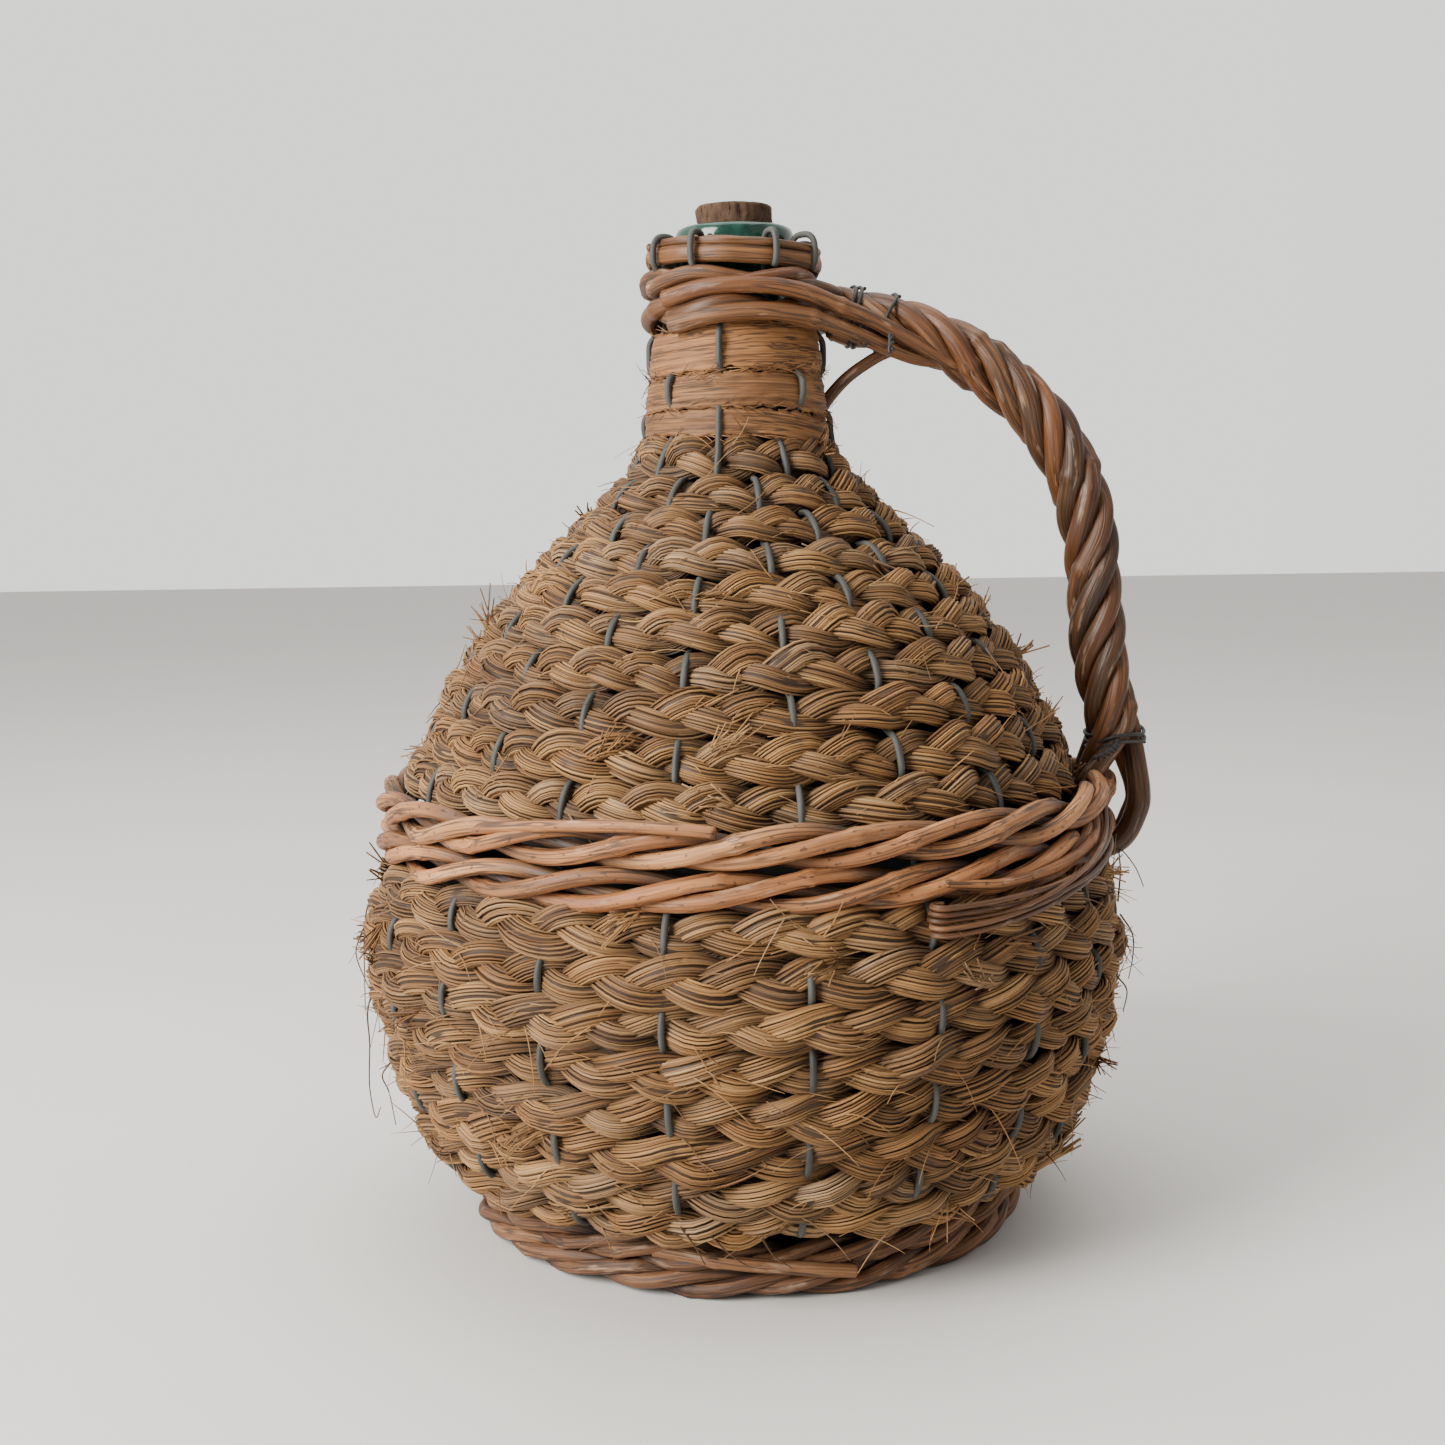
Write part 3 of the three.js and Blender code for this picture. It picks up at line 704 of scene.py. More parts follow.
STRAYS = [
    [(-178, 128, -1), (-181, 118, 3), (-183, 104, 6), (-181, 90, 7), (-178, 78, 8)],
    [(-172, 120, -1), (-176, 108, 4), (-180, 98, 8), (-182, 84, 7)],
    [(-168, 92, 0), (-173, 80, 5), (-176, 66, 9), (-172, 52, 13), (-166, 44, 14), (-163, 50, 10)],
    [(-160, 70, 0), (-166, 60, 5), (-170, 50, 6), (-166, 40, 8)],
    [(-8, 122, -1), (-5, 132, 3), (-3, 140, 6), (-2, 133, 10), (-1, 124, 12)],
    [(-10, 118, -1), (-6, 108, 4), (-4, 98, 6), (-6, 90, 5)],
    [(-14, 96, -1), (-10, 88, 4), (-8, 78, 5)],
    [(-96, 34, 0), (-93, 26, 4), (-90, 20, 6), (-88, 22, 9)],
    [(-100, 36, 0), (-98, 28, 3), (-97, 19, 4)],
    [(-88, 32, 0), (-86, 24, 4), (-83, 18, 6)],
]
for points in STRAYS:
    stray(lower_cover, points)
loose_straw.make("loose_straw", straw, "straw")

# ---------------------------------------------------------------- base mat

mat_radius, mat_bottom, _ = node_range("base_mat")
mat_cover = Cover([(8 * MM, mat_bottom), (mat_radius / 2, mat_bottom), (mat_radius, mat_bottom)], 60)
mat = Plait(mat_cover, 6, 0.0, 5.5, sway=4.2 * MM, lift=2.3 * MM, half_width=3.6 * MM,
            half_depth=2.3 * MM, period=62 * MM, fibres=11, bulge=0.0, depth=-5.2 * MM,
            fibre_radius=0.95 * MM)
mat.make("base_mat_course", ["base_mat"])

# ---------------------------------------------------------------- willow rods


# The third part of a rod's tint is painted light: below 1 it paints shade onto the rod.
def rod_tint(line, tone, redness, painted_light=1.0):
    place = run_length(line)
    tones = tone + 0.13 * drift(place, 0.06) + 0.06 * drift(place, 0.015)
    reds = redness + 0.2 * drift(place, 0.12)
    return np.stack([tones, reds, np.broadcast_to(painted_light, tones.shape)], axis=1)[None]


def rod_radii(line, radius, taper=0.0):
    """A grown rod: it tapers a little, swells at its buds, and isn't quite round."""
    place = run_length(line)
    radii = radius * (1 + 0.06 * drift(place, 0.03) + 0.03 * drift(place, 0.008))
    for bud in np.arange(dice.uniform(0.02, 0.08), place[-1], 0.07):
        spot = bud + dice.uniform(-0.02, 0.02)
        radii = radii + radius * 0.17 * np.exp(-(((place - spot) / 0.0022) ** 2))
    return radii * (1 - taper * place / place[-1])


WALE_RODS = 3


def waling(node_names, waves, twist_out, twist_up, radius, rounds, middle, name, material, slot,
           tone, redness, swell=None):
    """Rounds of three-rod waling: the rods of a round wind about each other."""
    stations = 560
    angle = TURN * np.arange(stations) / stations
    for index in range(WALE_RODS * len(rounds)):
        height = rounds[index // WALE_RODS]
        batch = Batch()
        phase = waves * angle + TURN * (index % WALE_RODS) / WALE_RODS + 0.7 * (index // WALE_RODS)
        lively = np.sin(2 * angle + index) * 0.25 + np.sin(5 * angle + 2 * index) * 0.15
        out = twist_out * np.cos(phase + lively) + 0.4 * MM * np.sin(9 * angle + index)
        up = twist_up * np.sin(phase + lively) + 0.7 * MM * np.sin(3 * angle + 4 * index)
        reach = middle + out + (0 if swell is None else swell(angle))
        line = around(angle, reach, height + up)
        tint = rod_tint(line, tone + dice.uniform(-0.1, 0.1), redness + dice.uniform(-0.2, 0.2))
        # Painted shade: a rod is darker where its twist takes it inwards, behind the others.
        tint[..., 2] = ease(0.62 + 0.5 * out / twist_out)
        radii = rod_radii(line, radius * dice.uniform(0.94, 1.06))
        normal = around(angle, 1.0, 0.0)
        batch.sweep(line, radii, normal, tint, round_section(12), closed=True)
        nodes = [node_names[index % len(node_names)]]
        batch.make(f"{name}_{index + 1}", material, slot, nodes)


BAND_NODES = [f"band_rod_{number}" for number in range(1, 7)]
band_radius, band_bottom, band_top = node_range(*BAND_NODES)
BAND_ROD = 2.9 * MM
BAND_TWIST = 3.3 * MM
band_middle = band_radius - BAND_TWIST - BAND_ROD + 0.6 * MM
band_rounds = [band_bottom + BAND_TWIST + BAND_ROD, band_top - BAND_TWIST - BAND_ROD]


def handle_swell(angle):
    """The band stands out a little where the handle's rods go down behind it."""
    away = (angle + math.pi) % TURN - math.pi
    return 5 * MM * np.exp(-((away / 0.11) ** 2))


waling(BAND_NODES, 8, BAND_TWIST, 4.6 * MM, BAND_ROD, band_rounds, band_middle, "willow_band", willow,
       "willow", 0.58, 0.3, handle_swell)

FOOT_NODES = [f"foot_rod_{number}" for number in range(1, 4)]
foot_radius, foot_bottom, foot_top = node_range(*FOOT_NODES)
FOOT_ROD = 2.7 * MM
FOOT_TWIST = 3.2 * MM
foot_rounds = [foot_bottom + FOOT_TWIST + FOOT_ROD + 0.4 * MM,
               foot_top - FOOT_TWIST - FOOT_ROD + 0.6 * MM]
waling(FOOT_NODES, 9, FOOT_TWIST, FOOT_TWIST - 0.4 * MM, FOOT_ROD, foot_rounds,
       foot_radius - FOOT_TWIST - FOOT_ROD + 2.4 * MM, "willow_foot", pale_willow, "pale_willow",
       0.42, 0.25)


def loose_rod(name, points, radius, material, slot, tone, redness):
    """A short rod through (degrees, radius in mm, height in mm)."""
    places = [around(math.radians(a), r * MM, h * MM) for a, r, h in points]
    line = curve(places, 90)
    batch = Batch()
    batch.sweep(line, rod_radii(line, radius), UPWARDS,
                rod_tint(line, tone, redness), round_section(12))
    batch.make(name, material, slot)


SPLICE_FRONT = [(-93.5, 142.6, 172.6), (-104, 142.2, 174.2), (-118, 141.2, 172.6),
                (-132, 139.6, 168.5), (-146, 136, 163)]
SPLICE_RIGHT = [(-62, 141.5, 151.5), (-52, 143.8, 149), (-40, 143.8, 150.8), (-27, 142.5, 155),
                (-12, 138, 160)]
SPLICE_BACK = [(70, 142, 171), (84, 142.4, 173), (100, 141.5, 172), (118, 138, 166)]
SPLICE_FOOT = [(-70, 109.8, 9), (-80, 110.6, 12.5), (-94, 110.2, 15.5), (-108, 107, 17)]
loose_rod("band_splice_front", SPLICE_FRONT, 2.1 * MM, willow, "willow", 0.55, 0.4)
loose_rod("band_splice_right", SPLICE_RIGHT, 2.0 * MM, willow, "willow", 0.45, 0.5)
loose_rod("band_splice_back", SPLICE_BACK, 2.7 * MM, willow, "willow", 0.45, 0.4)
loose_rod("foot_splice_front", SPLICE_FOOT, 2.6 * MM, pale_willow, "pale_willow", 0.6, 0.2)

# ---------------------------------------------------------------- handle

HANDLE_LINE = [
    (149, 178), (147, 192), (142, 215), (139.2, 245), (137, 268),
    (129, 292), (113, 315.5), (87, 335), (62, 345.5), (38.2, 350.5),
]
HANDLE_NODES = [f"handle_rod_{number}" for number in range(1, 6)]
HANDLE_TURNS = 2.9
HANDLE_TWIST = 7.0 * MM
HANDLE_ROD = 4.15 * MM
HANDLE_STATIONS = 240
HANDLE_TONE_LOW = 0.28
HANDLE_PAINTED_LIGHT_RISE = 0.22  # how much paler it is near the neck; the lower handle is darker as painted shade


def make_handle():
    flat = curve([(x * MM, z * MM) for x, z in HANDLE_LINE], HANDLE_STATIONS)
    line = np.stack([flat[:, 0], 1.2 * MM * drift(run_length(flat), 0.09), flat[:, 1]], axis=1)
    along = unit(np.gradient(line, axis=0))
    sideways = np.broadcast_to([0.0, 1.0, 0.0], line.shape)
    outwards = unit(np.cross(sideways, along))
    share = np.linspace(0, 1, HANDLE_STATIONS)
    for index, node in enumerate(HANDLE_NODES):
        start = TURN * (index + 0.5) / len(HANDLE_NODES)
        phase = start + TURN * HANDLE_TURNS * share + 0.1 * drift(share, 0.12)
        reach = HANDLE_TWIST * (1 + 0.05 * drift(share, 0.1))
        if index == 2:
            reach = reach + 3.0 * MM * np.exp(-(((share - 0.6) / 0.05) ** 2))
        path = (line + outwards * (reach * np.cos(phase))[:, None]
                + sideways * (reach * np.sin(phase))[:, None])
        if math.cos(start) > 0.5:
            y = HANDLE_TWIST * math.sin(start)
            tail = np.array([(137, y / MM, 141), (144, y / MM, 140.5), (151, y / MM, 144.5),
                             (155.6, y / MM, 153), (157.4, y / MM, 163)]) * MM
        else:
            y = HANDLE_TWIST * math.sin(start)
            tail = np.array([(131.5, y / MM * 1.5, 146), (132.2, y / MM * 1.4, 158),
                             (136.5, y / MM * 1.2, 168)]) * MM
        path = resample(np.vstack([curve(np.vstack([tail, path[10:11]]), 50)[:-1], path[10:]]), 300)
        soften(path, 3)
        batch = Batch()
        radii = rod_radii(path, HANDLE_ROD * dice.uniform(0.95, 1.04))
        climbed = np.linspace(0, 1, len(path))
        # Painted shade: the handle is painted darker low down and paler towards the neck.
        tone = HANDLE_TONE_LOW + HANDLE_PAINTED_LIGHT_RISE * ease((climbed - 0.5) / 0.35)
        tint = rod_tint(path, tone + dice.uniform(-0.1, 0.1), 0.55 + dice.uniform(-0.2, 0.2))
        batch.sweep(path, radii, [0.0, 1.0, 0.15], tint, round_section(16))
        batch.make(f"handle_strand_{index + 1}", handle_wood, "willow", [node])


make_handle()

ROOT_STRANDS = [
    [(-26, -22, 354.5), (-11, -33, 357.5), (8, -34.5, 358), (24, -30, 356), (38, -23, 351.5),
     (53, -15.5, 346), (69, -10.5, 338), (85, -5, 330), (98, 0, 325)],
    [(-24, -25, 345), (-8, -34.5, 347.5), (10, -34.5, 348.5), (26, -29, 347), (40, -21, 343),
     (54, -12.5, 338), (69, -6.5, 333), (84, -1, 331)],
    [(-22, 27, 352), (-6, 35, 354), (12, 34, 353.5), (28, 28.5, 350.5), (44, 19, 346),
     (60, 12, 341), (76, 7, 335), (92, 0, 329)],
]


def make_root_strands():
    """The handle's rods divide at the neck: these go round it, along the loops."""
    for index, points in enumerate(ROOT_STRANDS):
        line = curve(np.array(points) * MM, 140)
        batch = Batch()
        batch.sweep(line, rod_radii(line, 3.7 * MM, 0.3), UPWARDS,
                    rod_tint(line, 0.5, 0.6), round_section(14))
        batch.make(f"handle_root_{index + 1}", handle_wood, "willow")


make_root_strands()

STRUT = [(31, 2, 312), (37, 0, 320), (44, -1, 327), (54, -2, 333.5), (62, -1, 337)]
strut = curve(np.array(STRUT) * MM, 60)
strut_batch = Batch()
strut_batch.sweep(strut, rod_radii(strut, 2.3 * MM), [0.0, 1.0, 0.0], rod_tint(strut, 0.4, 0.7),
                  round_section(12))
strut_batch.make("handle_strut_rod", handle_wood, "willow", ["handle_strut"])

# ---------------------------------------------------------------- neck

NECK_STRIPS = ["neck_strip_lower", "neck_strip_middle", "neck_strip_upper"]
STRIP_ACROSS = 17


def ribbon_section(stations, half_width, thickness, ridge, fray):
    """A flat strip's section at each station, ridged along its fibres and frayed at its edges."""
    across = np.linspace(1, -1, STRIP_ACROSS)
    place = np.linspace(0, 1, stations)
    top, bottom = (half_width * (1 + fray * drift(place, 0.012) + fray * drift(place, 0.05))
                   for _ in range(2))
    edges = np.where(across[None] > 0, bottom[:, None] * across, top[:, None] * across)
    ridges = ridge * drift(np.arange(STRIP_ACROSS), 1.3)[None]
    ridges = ridges + ridge * drift(place, 0.03, STRIP_ACROSS).T
    dome = np.broadcast_to(thickness * (0.5 - 0.35 * across[None] ** 4), edges.shape)
    outer = np.stack([edges, dome + ridges], axis=2)
    inner = np.stack([edges[:, ::-1], -dome[:, ::-1]], axis=2)
    return np.concatenate([outer, inner], axis=1)


def edge_fibres(batch, line, normal, half_width, count, length):
    """Fine fibres that come away from the edges of a strip."""
    at = dice.integers(3, len(line) - 3, count)
    along = unit(line[at + 2] - line[at - 2])
    edge = dice.choice([-1.0, 1.0], (count, 1))
    side = unit(np.cross(along, normal[at])) * edge
    start = line[at] + side * half_width * 0.95
    share = np.linspace(0, 1, 5)[None, :, None]
    size = dice.uniform(*length, (count, 1, 1))
    way = dice.choice([-1.0, 1.0], (count, 1))
    paths = start[:, None] + size * (
        (along * way)[:, None] * share
        + normal[at][:, None] * dice.uniform(0, 0.4, (count, 1, 1)) * share
        + side[:, None] * dice.uniform(0.05, 0.6, (count, 1, 1)) * share**1.5)
    radii = 0.28 * MM * dice.uniform(0.7, 1.3, (count, 1)) * np.linspace(1, 0.4, 5)
    # Edge fibres carry a little painted shade in the tint's third part.
    batch.sweep(paths, radii, normal[at][:, None], (0.6, 0.4, 0.9), round_section(4))


STRIP_DIP = (5.2 * MM, 2.6 * MM, 0.4 * MM)  # how far each strip sinks beside the strut
STRIP_SPREAD = (0.0, 1.8 * MM, 0.6 * MM)  # and how much wider it is there
STRIP_THICKNESS = 2.3 * MM
STRIP_RIDGE = 0.34 * MM
STRIP_FRAY = 0.12
STRIP_HAIRS = 150
strip_ranges = [node_range(node) for node in NECK_STRIPS]


def make_strips():
    for index, (node, (radius, low, high)) in enumerate(zip(NECK_STRIPS, strip_ranges)):
        stations = 260
        angle = np.linspace(-TURN * 0.93, TURN * 0.13, stations) + 0.3 * index
        share = np.linspace(0, 1, stations)
        height = (low + high) / 2 + 0.8 * MM * np.sin(angle + index) + 0.5 * MM * drift(share, 0.2)
        height = height + (high - low) * 0.16 * (share - 0.5)
        beside = np.exp(-((((angle + 0.25 + math.pi) % TURN - math.pi) / 0.75) ** 2))
        height = height - STRIP_DIP[index] * beside
        reach = radius - 1.6 * MM + 0.6 * MM * drift(share, 0.12)
        reach = reach + 1.3 * MM * ease((share - 0.86) / 0.1)
        line = around(angle, reach, height)
        normal = around(angle, 1.0, 0.12)
        half = (high - low) / 2 * 1.04
        batch = Batch()
        half_width = half + STRIP_SPREAD[index] * beside
        section = ribbon_section(stations, half_width, STRIP_THICKNESS, STRIP_RIDGE, STRIP_FRAY)
        batch.sweep(line, 1.0, normal, rod_tint(line, 0.5 + 0.06 * index, 0.35), section)
        edge_fibres(batch, line, normal, half, STRIP_HAIRS, (3 * MM, 14 * MM))
        batch.make(f"neck_bark_{index + 1}", bark, "bark", [node])


make_strips()


LOOP_PLY = (3.5 * MM, 3.0 * MM)
LOOP_TWIST = (2.5 * MM, 2.1 * MM)
LOOP_TURNS = 3.6
LOOP_SWING = 6 * MM  # how far a loop stands out at the handle


def make_loops():
    """Two-ply loops round the neck. They swing out to the handle where they meet it."""
    for index, name in enumerate(["neck_loop_lower", "neck_loop_upper"]):
        nodes = [f"{name}_ply_a", f"{name}_ply_b"]
        radius, low, high = node_range(*nodes)
        height = (low + high) / 2
        stations = 300
        share = np.linspace(0, 1, stations)
        angle = 0.02 + (TURN - 0.04) * share
        away = np.minimum(share, 1 - share) * TURN
        swing = ease(1 - away / 0.75)
        ply = LOOP_PLY[index]
        twist = LOOP_TWIST[index]
        middle = radius - ply - twist + 0.6 * MM + LOOP_SWING * swing
        level = height + 0.9 * MM * np.sin(angle * 2 + index) - (1.5 + 5 * index) * MM * swing
        for ply_index, node in enumerate(nodes):
            phase = TURN * (LOOP_TURNS - 0.4 * index) * share + math.pi * ply_index + 0.4 * drift(share, 0.1)
            line = around(angle, middle + twist * np.cos(phase), level + twist * np.sin(phase))
            batch = Batch()
            tint = rod_tint(line, 0.52 + dice.uniform(-0.05, 0.05), 0.6)
            batch.sweep(line, rod_radii(line, ply), UPWARDS, tint,
                        round_section(14))
            batch.make(f"{name}_strand_{ply_index + 1}", handle_wood, "willow", [node])


make_loops()

collar_radius, collar_bottom, collar_top = node_range("collar_cane_inner", "collar_cane_outer")
COLLAR_FACETS = 11
COLLAR_SQUASH = (0.52, 0.9)
COLLAR_CANES = ((-0.56, 1.42), (1.42, 0.62))  # height and size of the wide cane and the thin one
COLLAR_TILT = 1.7 * MM


def make_collar():
    """Split canes bent round the neck. They lie a little crooked and aren't quite round."""
    stations = 300
    angle = np.linspace(-3.6, -3.6 + TURN * 1.08, stations)
    corner = 0.35 * MM * np.cos(COLLAR_FACETS * angle) + 0.5 * MM * np.cos(2 * angle + 1)
    height = (collar_bottom + collar_top) / 2
    tilt = -COLLAR_TILT * np.cos(angle + 0.4)
    half = (collar_top - collar_bottom) / 4
    outer = Batch()
    for level, (offset, size) in enumerate(COLLAR_CANES):
        overlap = 1.6 * MM * ease((angle - 2.3) / 0.35)
        reach = collar_radius - 2.4 * MM + corner + overlap + 0.2 * MM * drift(angle, 0.5)
        line = around(angle, reach, height + tilt + offset * half + 0.15 * MM * drift(angle, 0.6))
        outer.sweep(line, half * size, around(angle, 1.0, 0.0), rod_tint(line, 0.5 - 0.1 * level, 0.35),
                    round_section(14, COLLAR_SQUASH[level]))
    outer.make("collar_outer_canes", cane, "cane", ["collar_cane_outer"])
    inner = Batch()
    reach = collar_radius - 6.0 * MM + corner
    line = around(angle, reach, height + tilt + 0.8 * MM)
    section = ribbon_section(stations, (collar_top - collar_bottom) / 2, 2.6 * MM, 0.12 * MM, 0.02)
    inner.sweep(line, 1.0, around(angle, 1.0, 0.0), rod_tint(line, 0.55, 0.3), section)
    inner.make("collar_inner_cane", cane, "cane", ["collar_cane_inner"])


make_collar()

# ---------------------------------------------------------------- stake wires

WIRE_RADIUS = 1.25 * MM
STRIP_STAKES = 3  # one stake in three shows on the neck, and there on every other strip
WEAVE = 3.2 * MM  # how far a stake swings out of the straw and back into it
band_inside = band_middle - BAND_TWIST - BAND_ROD - WIRE_RADIUS


def weave_points(plait, index, low, high):
    """The wire's way up one cover, in front of every other course and behind the rest."""
    angle = stake_angles[index]
    first = np.ceil((angle - plait.angle[0]) / TURN)
    crossings = angle + TURN * (np.arange(-2, plait.courses + 3) - first)
    at = (crossings + math.pi) / TURN
    heights = plait.pitch * (np.floor(at) + ease((at - np.floor(at) - 0.5) / 0.5) + 0.5)
    counts = np.round(stake_place(crossings))
    up = np.arange(low, high, 1.2 * MM)
    wave = np.cos(math.pi * np.interp(up, heights, np.arange(len(heights))))
    wave = wave * np.cos(math.pi * counts[0])
    shape = -np.sign(wave) * np.abs(wave) ** 0.45
    radius, height = plait.cover.find(up, plait.cover.line)
    out_radius, out_height = plait.cover.find(up, plait.cover.out)
    depth = WEAVE * shape - 6.0 * MM
    return np.stack([radius + depth * out_radius, height + depth * out_height], axis=1)


def make_stakes():
    for index, node in enumerate(STAKES):
        _, _, top = node_range(node)
        hooked = top > collar_top
        points = [np.array([(56, 16.0), (74, 15.8), (88, 17.4), (100, 22)]) * MM]
        points.append(weave_points(lower, index, 5 * MM, lower_cover.length - 2 * MM))
        points.append(np.array([(band_inside, band_bottom + 6 * MM),
                                (band_inside - 1 * MM, band_top - 6 * MM)]))
        points.append(weave_points(upper, index, 3 * MM, upper_cover.length - 4 * MM))
        for level, (radius, low, high) in enumerate(strip_ranges):
            in_front = index % STRIP_STAKES == 0 and (index // STRIP_STAKES + level) % 2 == 0
            reach = radius + 0.7 * MM if in_front else radius - 5.0 * MM
            points.append(np.array([(reach, low + 2.5 * MM), (reach, high - 2.5 * MM)]))
        if hooked:
            inside = collar_radius - 9.2 * MM
            outside = collar_radius + 0.9 * MM
            points.append(np.array([
                (inside, collar_bottom - 8 * MM), (inside, collar_top - 1 * MM),
                (inside + 2 * MM, collar_top + 2.1 * MM), (outside - 2 * MM, collar_top + 2.2 * MM),
                (outside, collar_top - 0.5 * MM), (outside + 0.2 * MM, collar_bottom + 1 * MM),
                (outside - 1.8 * MM, collar_bottom - 1.6 * MM)]))
        else:
            points.append(np.array([(strip_ranges[2][0] - 6 * MM, strip_ranges[2][2] + 4 * MM)]))
        outline = resample(np.vstack(points), 420)
        soften(outline, 4)
        angle = stake_angles[index] + 0.004 * drift(np.linspace(0, 1, len(outline)), 0.08)
        line = around(angle, outline[:, 0], outline[:, 1])
        sideways = around(stake_angles[index] + math.pi / 2, 1.0, 0.0)
        batch = Batch()
        batch.sweep(line, WIRE_RADIUS, sideways, (0.5, 0.5, 1.0), round_section(8))
        batch.make(f"stake_{index + 1:02d}", steel, "stake_wire", [node])


make_stakes()

# ---------------------------------------------------------------- ties


def tie(name, node, centre, tilt, radius, turns, spread):
    """Black wire wound round the handle, its ends twisted together and bent over."""
    steps = int(44 * turns)
    angle = np.linspace(0, TURN * turns, steps)
    ring = np.stack([radius * np.cos(angle), radius * np.sin(angle),
                     spread * (angle / angle[-1] - 0.5) + 0.8 * MM * np.sin(3 * angle)], axis=1)
    lean = np.array(Matrix.Rotation(-tilt, 3, "Y"))
    line = ring @ lean.T + np.array(centre)
    up = np.broadcast_to(lean @ [0.0, 0.0, 1.0], line.shape)
    batch = Batch()
    wire = 0.75 * MM
    batch.sweep(line, wire, up, (0.5, 0.5, 1.0), round_section(7))
    share = np.linspace(0, 1, 50)
    for strand in range(2):
        phase = TURN * 3.5 * share + math.pi * strand
        tail = np.stack([radius + 7 * MM * share, wire * np.cos(phase) - 9 * MM * share**2,
                         wire * np.sin(phase) - 5 * MM * share], axis=1)
        tail = tail @ np.array(Matrix.Rotation(-1.7, 3, "Z")).T
        tail = tail @ lean.T + np.array(centre)
        batch.sweep(tail, wire, [0.1, 0.3, 0.9], (0.5, 0.5, 1.0), round_section(7))
    batch.make(name, black_wire, "tie_wire", [node])


def box_centre(node):
    low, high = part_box(node)
    return [(a + b) / 2 for a, b in zip(low, high)]


HANDLE_REACH = HANDLE_TWIST + HANDLE_ROD + 0.3 * MM
tie("tie_lower", "handle_tie_lower", box_centre("handle_tie_lower"), 0.12, HANDLE_REACH, 2.6, 7 * MM)
tie("tie_upper", "handle_tie_upper", box_centre("handle_tie_upper"), 1.2, HANDLE_REACH, 1.4, 3 * MM)
tie("tie_root", "handle_tie_root", box_centre("handle_tie_root"), 1.42, HANDLE_REACH, 2.2, 5 * MM)

# ---------------------------------------------------------------- rod tails bound to a stake


TAILS = 5
TAIL_ROD = 0.98 * MM
TAIL_START = math.radians(-14)
TAIL_END = math.radians(-63)  # the stake nearest to here holds them


def make_tails():
    """Thin rod ends that leave the band by the handle and are wound round a stake in front."""
    target = int(np.argmin(np.abs((stake_angles - TAIL_END + math.pi) % TURN - math.pi)))
    goal = stake_angles[target]
    batch = Batch()
    for strand in range(TAILS):
        height = (136.0 + 2.3 * strand) * MM
        share = np.linspace(0, 1, 120)
        angle = math.radians(-14 + 1.5 * strand) + (goal - TAIL_START) * ease(share * 0.9 + 0.05)
        start = (148 + 3.4 * ((2 * strand) % TAILS)) * MM
        rise = start + (height - start) * ease(share * (1.05 + 0.06 * strand))
        rise = rise + 0.8 * MM * np.sin(6 * share + 2.3 * strand) * np.sin(math.pi * share)
        reach = 142.5 * MM + 6.5 * MM * ease(share * 1.5) + 0.9 * MM * np.sin(7 * share + 1.9 * strand)
        line = around(angle, reach, rise)
        loop = np.linspace(0, TURN * 0.62, 26)[1:]
        turn_radius = 3.6 * MM
        centre = around(goal, reach[-1] - turn_radius, height)
        hook_angle = goal - np.sin(loop) * turn_radius / reach[-1]
        hook_reach = reach[-1] - turn_radius + turn_radius * np.cos(loop)
        hook = around(hook_angle, hook_reach, centre[2] + loop * 0)
        path = resample(np.vstack([line, hook]), 150)
        soften(path, 1)
        batch.sweep(path, rod_radii(path, TAIL_ROD), [0.0, 0.0, 1.0], rod_tint(path, 0.45, 0.5),
                    round_section(10))
    batch.make("band_rod_tails", handle_wood, "willow")


make_tails()

# ---------------------------------------------------------------- bottle and cork

_, bottle_foot, mouth = node_range("glass_bottle")
BOTTLE_PROFILE = [
    (68, 18), (74, 18), (86, 19.5), (97, 26.5), (110, 40), (121.5, 61), (129, 86), (130.5, 108),
    (128, 130), (121.5, 160), (110.5, 188), (83, 231), (48.5, 268.5), (32, 287), (25, 303),
    (22, 325), (20.8, 350), (20.6, 371), (21.2, 373.4), (22.5, 375), (22.9, 378), (22.6, 381.2),
    (21.2, 383), (18.5, 383), (15.6, 382.2),
]


def make_bottle():
    outside = curve(fit("glass_bottle", BOTTLE_PROFILE), 260)
    inside = outside[outside[:, 0] > 15.65 * MM][::-1].copy()
    inside[:, 0] = np.minimum(inside[:, 0] - 3.0 * MM, 200 * MM)
    inside = inside[(inside[:, 1] < mouth - 16 * MM) & (inside[:, 1] > bottle_foot + 4 * MM)]
    punt = np.array([(0, 18), (34, 14.4), (58, 4.5)]) * MM + [0, bottle_foot]
    floor = (punt + [0, 3 * MM])[::-1]
    bore = np.array([(14.4 * MM, mouth - 12 * MM)])
    batch = Batch()
    batch.lathe(np.vstack([punt, outside, bore, inside, floor]), 128, (0.5, 0.5, 1.0))
    batch.make("bottle_glass", glass, "green_glass", ["glass_bottle"])


make_bottle()

cork_low, cork_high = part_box("cork_stopper")
CORK_PITS = 90


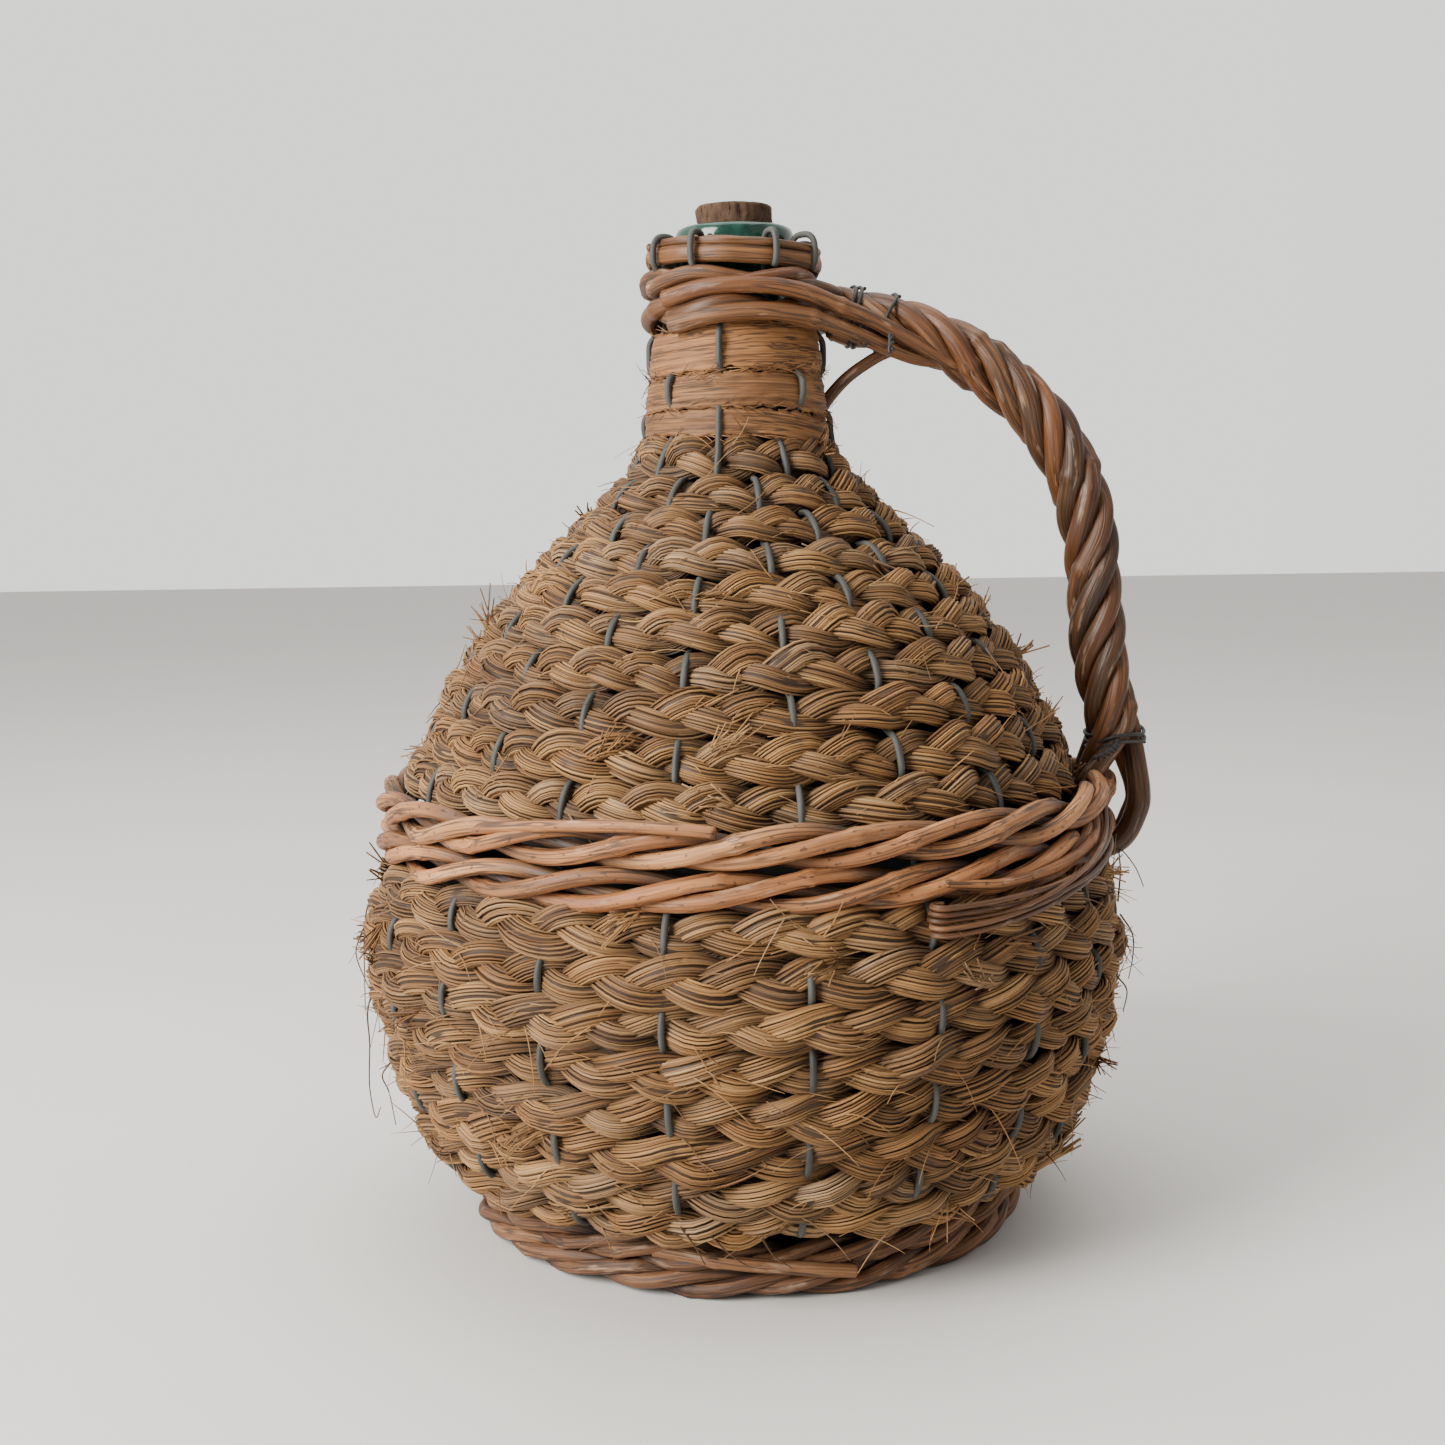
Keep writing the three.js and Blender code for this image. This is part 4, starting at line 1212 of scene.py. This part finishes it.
def make_cork():
    """A tapered cork with a worn top edge and pits towards its top."""
    bottom, top = cork_low[2], cork_high[2]
    wide = cork_high[0] * 0.985
    narrow = wide * 0.885
    side = np.linspace(0, 1, 46)
    walls = np.stack([narrow + (wide - narrow) * side, bottom + (top - bottom) * side], axis=1)
    walls[-1] -= [0.7 * MM, 0]
    walls[-2] -= [0.15 * MM, 0.1 * MM]
    cap = np.stack([np.linspace(wide - 1.4 * MM, 0.2 * MM, 18), np.full(18, top - 0.1 * MM)], axis=1)
    base = np.stack([np.linspace(0.2 * MM, narrow - 1 * MM, 8), np.full(8, bottom)], axis=1)
    pit_bottom = bottom + 0.6 * (top - bottom)
    pits = [(dice.uniform(0, TURN), dice.uniform(pit_bottom, top), dice.uniform(0.5, 1.3) * MM,
             dice.uniform(0.25, 0.8) * MM) for _ in range(CORK_PITS)]

    def push(angle, radius, height):
        moved = 0.18 * MM * np.sin(7 * angle + 900 * height) + 0.12 * MM * np.sin(23 * angle)
        moved = moved + 0 * radius
        for pit_angle, pit_height, size, depth in pits:
            across = ((angle - pit_angle + math.pi) % TURN - math.pi) * wide
            far = (across**2 + ((height - pit_height) / 1.6) ** 2) / size**2
            moved = moved - depth * np.exp(-far)
        return moved * (radius > wide * 0.8)

    batch = Batch()
    batch.lathe(np.vstack([base, walls, cap]), 120, (0.5, 0.5, 1.0), push)
    batch.make("cork", cork, "cork", ["cork_stopper"], "stopper")


make_cork()

# ---------------------------------------------------------------- floor, light and camera


FLOOR_SIZE = 14


def make_floor():
    bpy.ops.mesh.primitive_plane_add(size=FLOOR_SIZE, location=(0, 0, 0))
    floor = bpy.context.active_object
    floor.name = "floor"
    m = Material("pale_floor", Specular_IOR_Level=0.3)
    place = m.node("ShaderNodeTexCoord").outputs["Object"]
    cloud = m.noise(place, 3.0, 4.0)
    colour = m.ramp(cloud, [(0.3, (0.62, 0.60, 0.57)), (0.7, (0.66, 0.64, 0.61))])
    floor.data.materials.append(m.finish(colour, m.span(cloud, 0.3, 0.7, 0.55, 0.7)))


def area_light(name, place, target, size, energy, colour):
    light = bpy.data.lights.new(name, "AREA")
    light.shape = "RECTANGLE"
    light.size, light.size_y = size
    light.energy = energy
    light.color = colour
    lamp = bpy.data.objects.new(name, light)
    bpy.context.scene.collection.objects.link(lamp)
    lamp.location = place
    lamp.rotation_euler = (Vector(target) - Vector(place)).to_track_quat("-Z", "Y").to_euler()


make_floor()
area_light("window", (-1.35, -1.0, 1.0), (0, 0, 0.18), (0.9, 1.1), 84, (1.0, 0.98, 0.95))
area_light("room", (1.5, -0.9, 1.1), (0, 0, 0.2), (1.6, 1.2), 2, (1.0, 0.97, 0.93))
area_light("ceiling", (0.0, 0.3, 2.2), (0, 0, 0.2), (1.8, 1.8), 30, (1.0, 0.98, 0.96))


ROOM_COLOUR = (0.88, 0.87, 0.85, 1)
BRIGHT_WAY = (-0.35, 0.93, 0.1)
ROOM_DIM = 0.45
ROOM_BRIGHT = 1.6


def make_world():
    """A pale room that is brightest behind the object and dimmer on the right and in front."""
    world = bpy.data.worlds.new("studio")
    world.use_nodes = True
    nodes, links = world.node_tree.nodes, world.node_tree.links
    background = nodes["Background"]
    background.inputs["Color"].default_value = ROOM_COLOUR
    facing = nodes.new("ShaderNodeVectorMath")
    facing.operation = "DOT_PRODUCT"
    facing.inputs[1].default_value = BRIGHT_WAY
    level = nodes.new("ShaderNodeMapRange")
    level.inputs["From Min"].default_value = -0.8
    level.inputs["From Max"].default_value = 0.8
    level.inputs["To Min"].default_value = ROOM_DIM
    level.inputs["To Max"].default_value = ROOM_BRIGHT
    links.new(nodes.new("ShaderNodeTexCoord").outputs["Generated"], facing.inputs[0])
    links.new(facing.outputs["Value"], level.inputs["Value"])
    links.new(level.outputs["Result"], background.inputs["Strength"])
    bpy.context.scene.world = world


make_world()

CAMERA_DISTANCE = 0.711
CAMERA_HEIGHT = 0.273
CAMERA_PITCH = math.radians(6.5)
CAMERA_YAW = math.radians(0.59)
CAMERA_ROLL = math.radians(-0.84)
CAMERA_SENSOR = 36
CAMERA_LENS = 44.84
camera_data = bpy.data.cameras.new("camera")
camera_data.sensor_width = CAMERA_SENSOR
camera_data.lens = CAMERA_LENS
camera = bpy.data.objects.new("camera", camera_data)
bpy.context.scene.collection.objects.link(camera)
turned = (Matrix.Rotation(CAMERA_YAW, 4, "Z") @ Matrix.Rotation(math.pi / 2 - CAMERA_PITCH, 4, "X")
          @ Matrix.Rotation(CAMERA_ROLL, 4, "Z"))
camera.matrix_world = Matrix.Translation((0, -CAMERA_DISTANCE, CAMERA_HEIGHT)) @ turned
bpy.context.scene.camera = camera
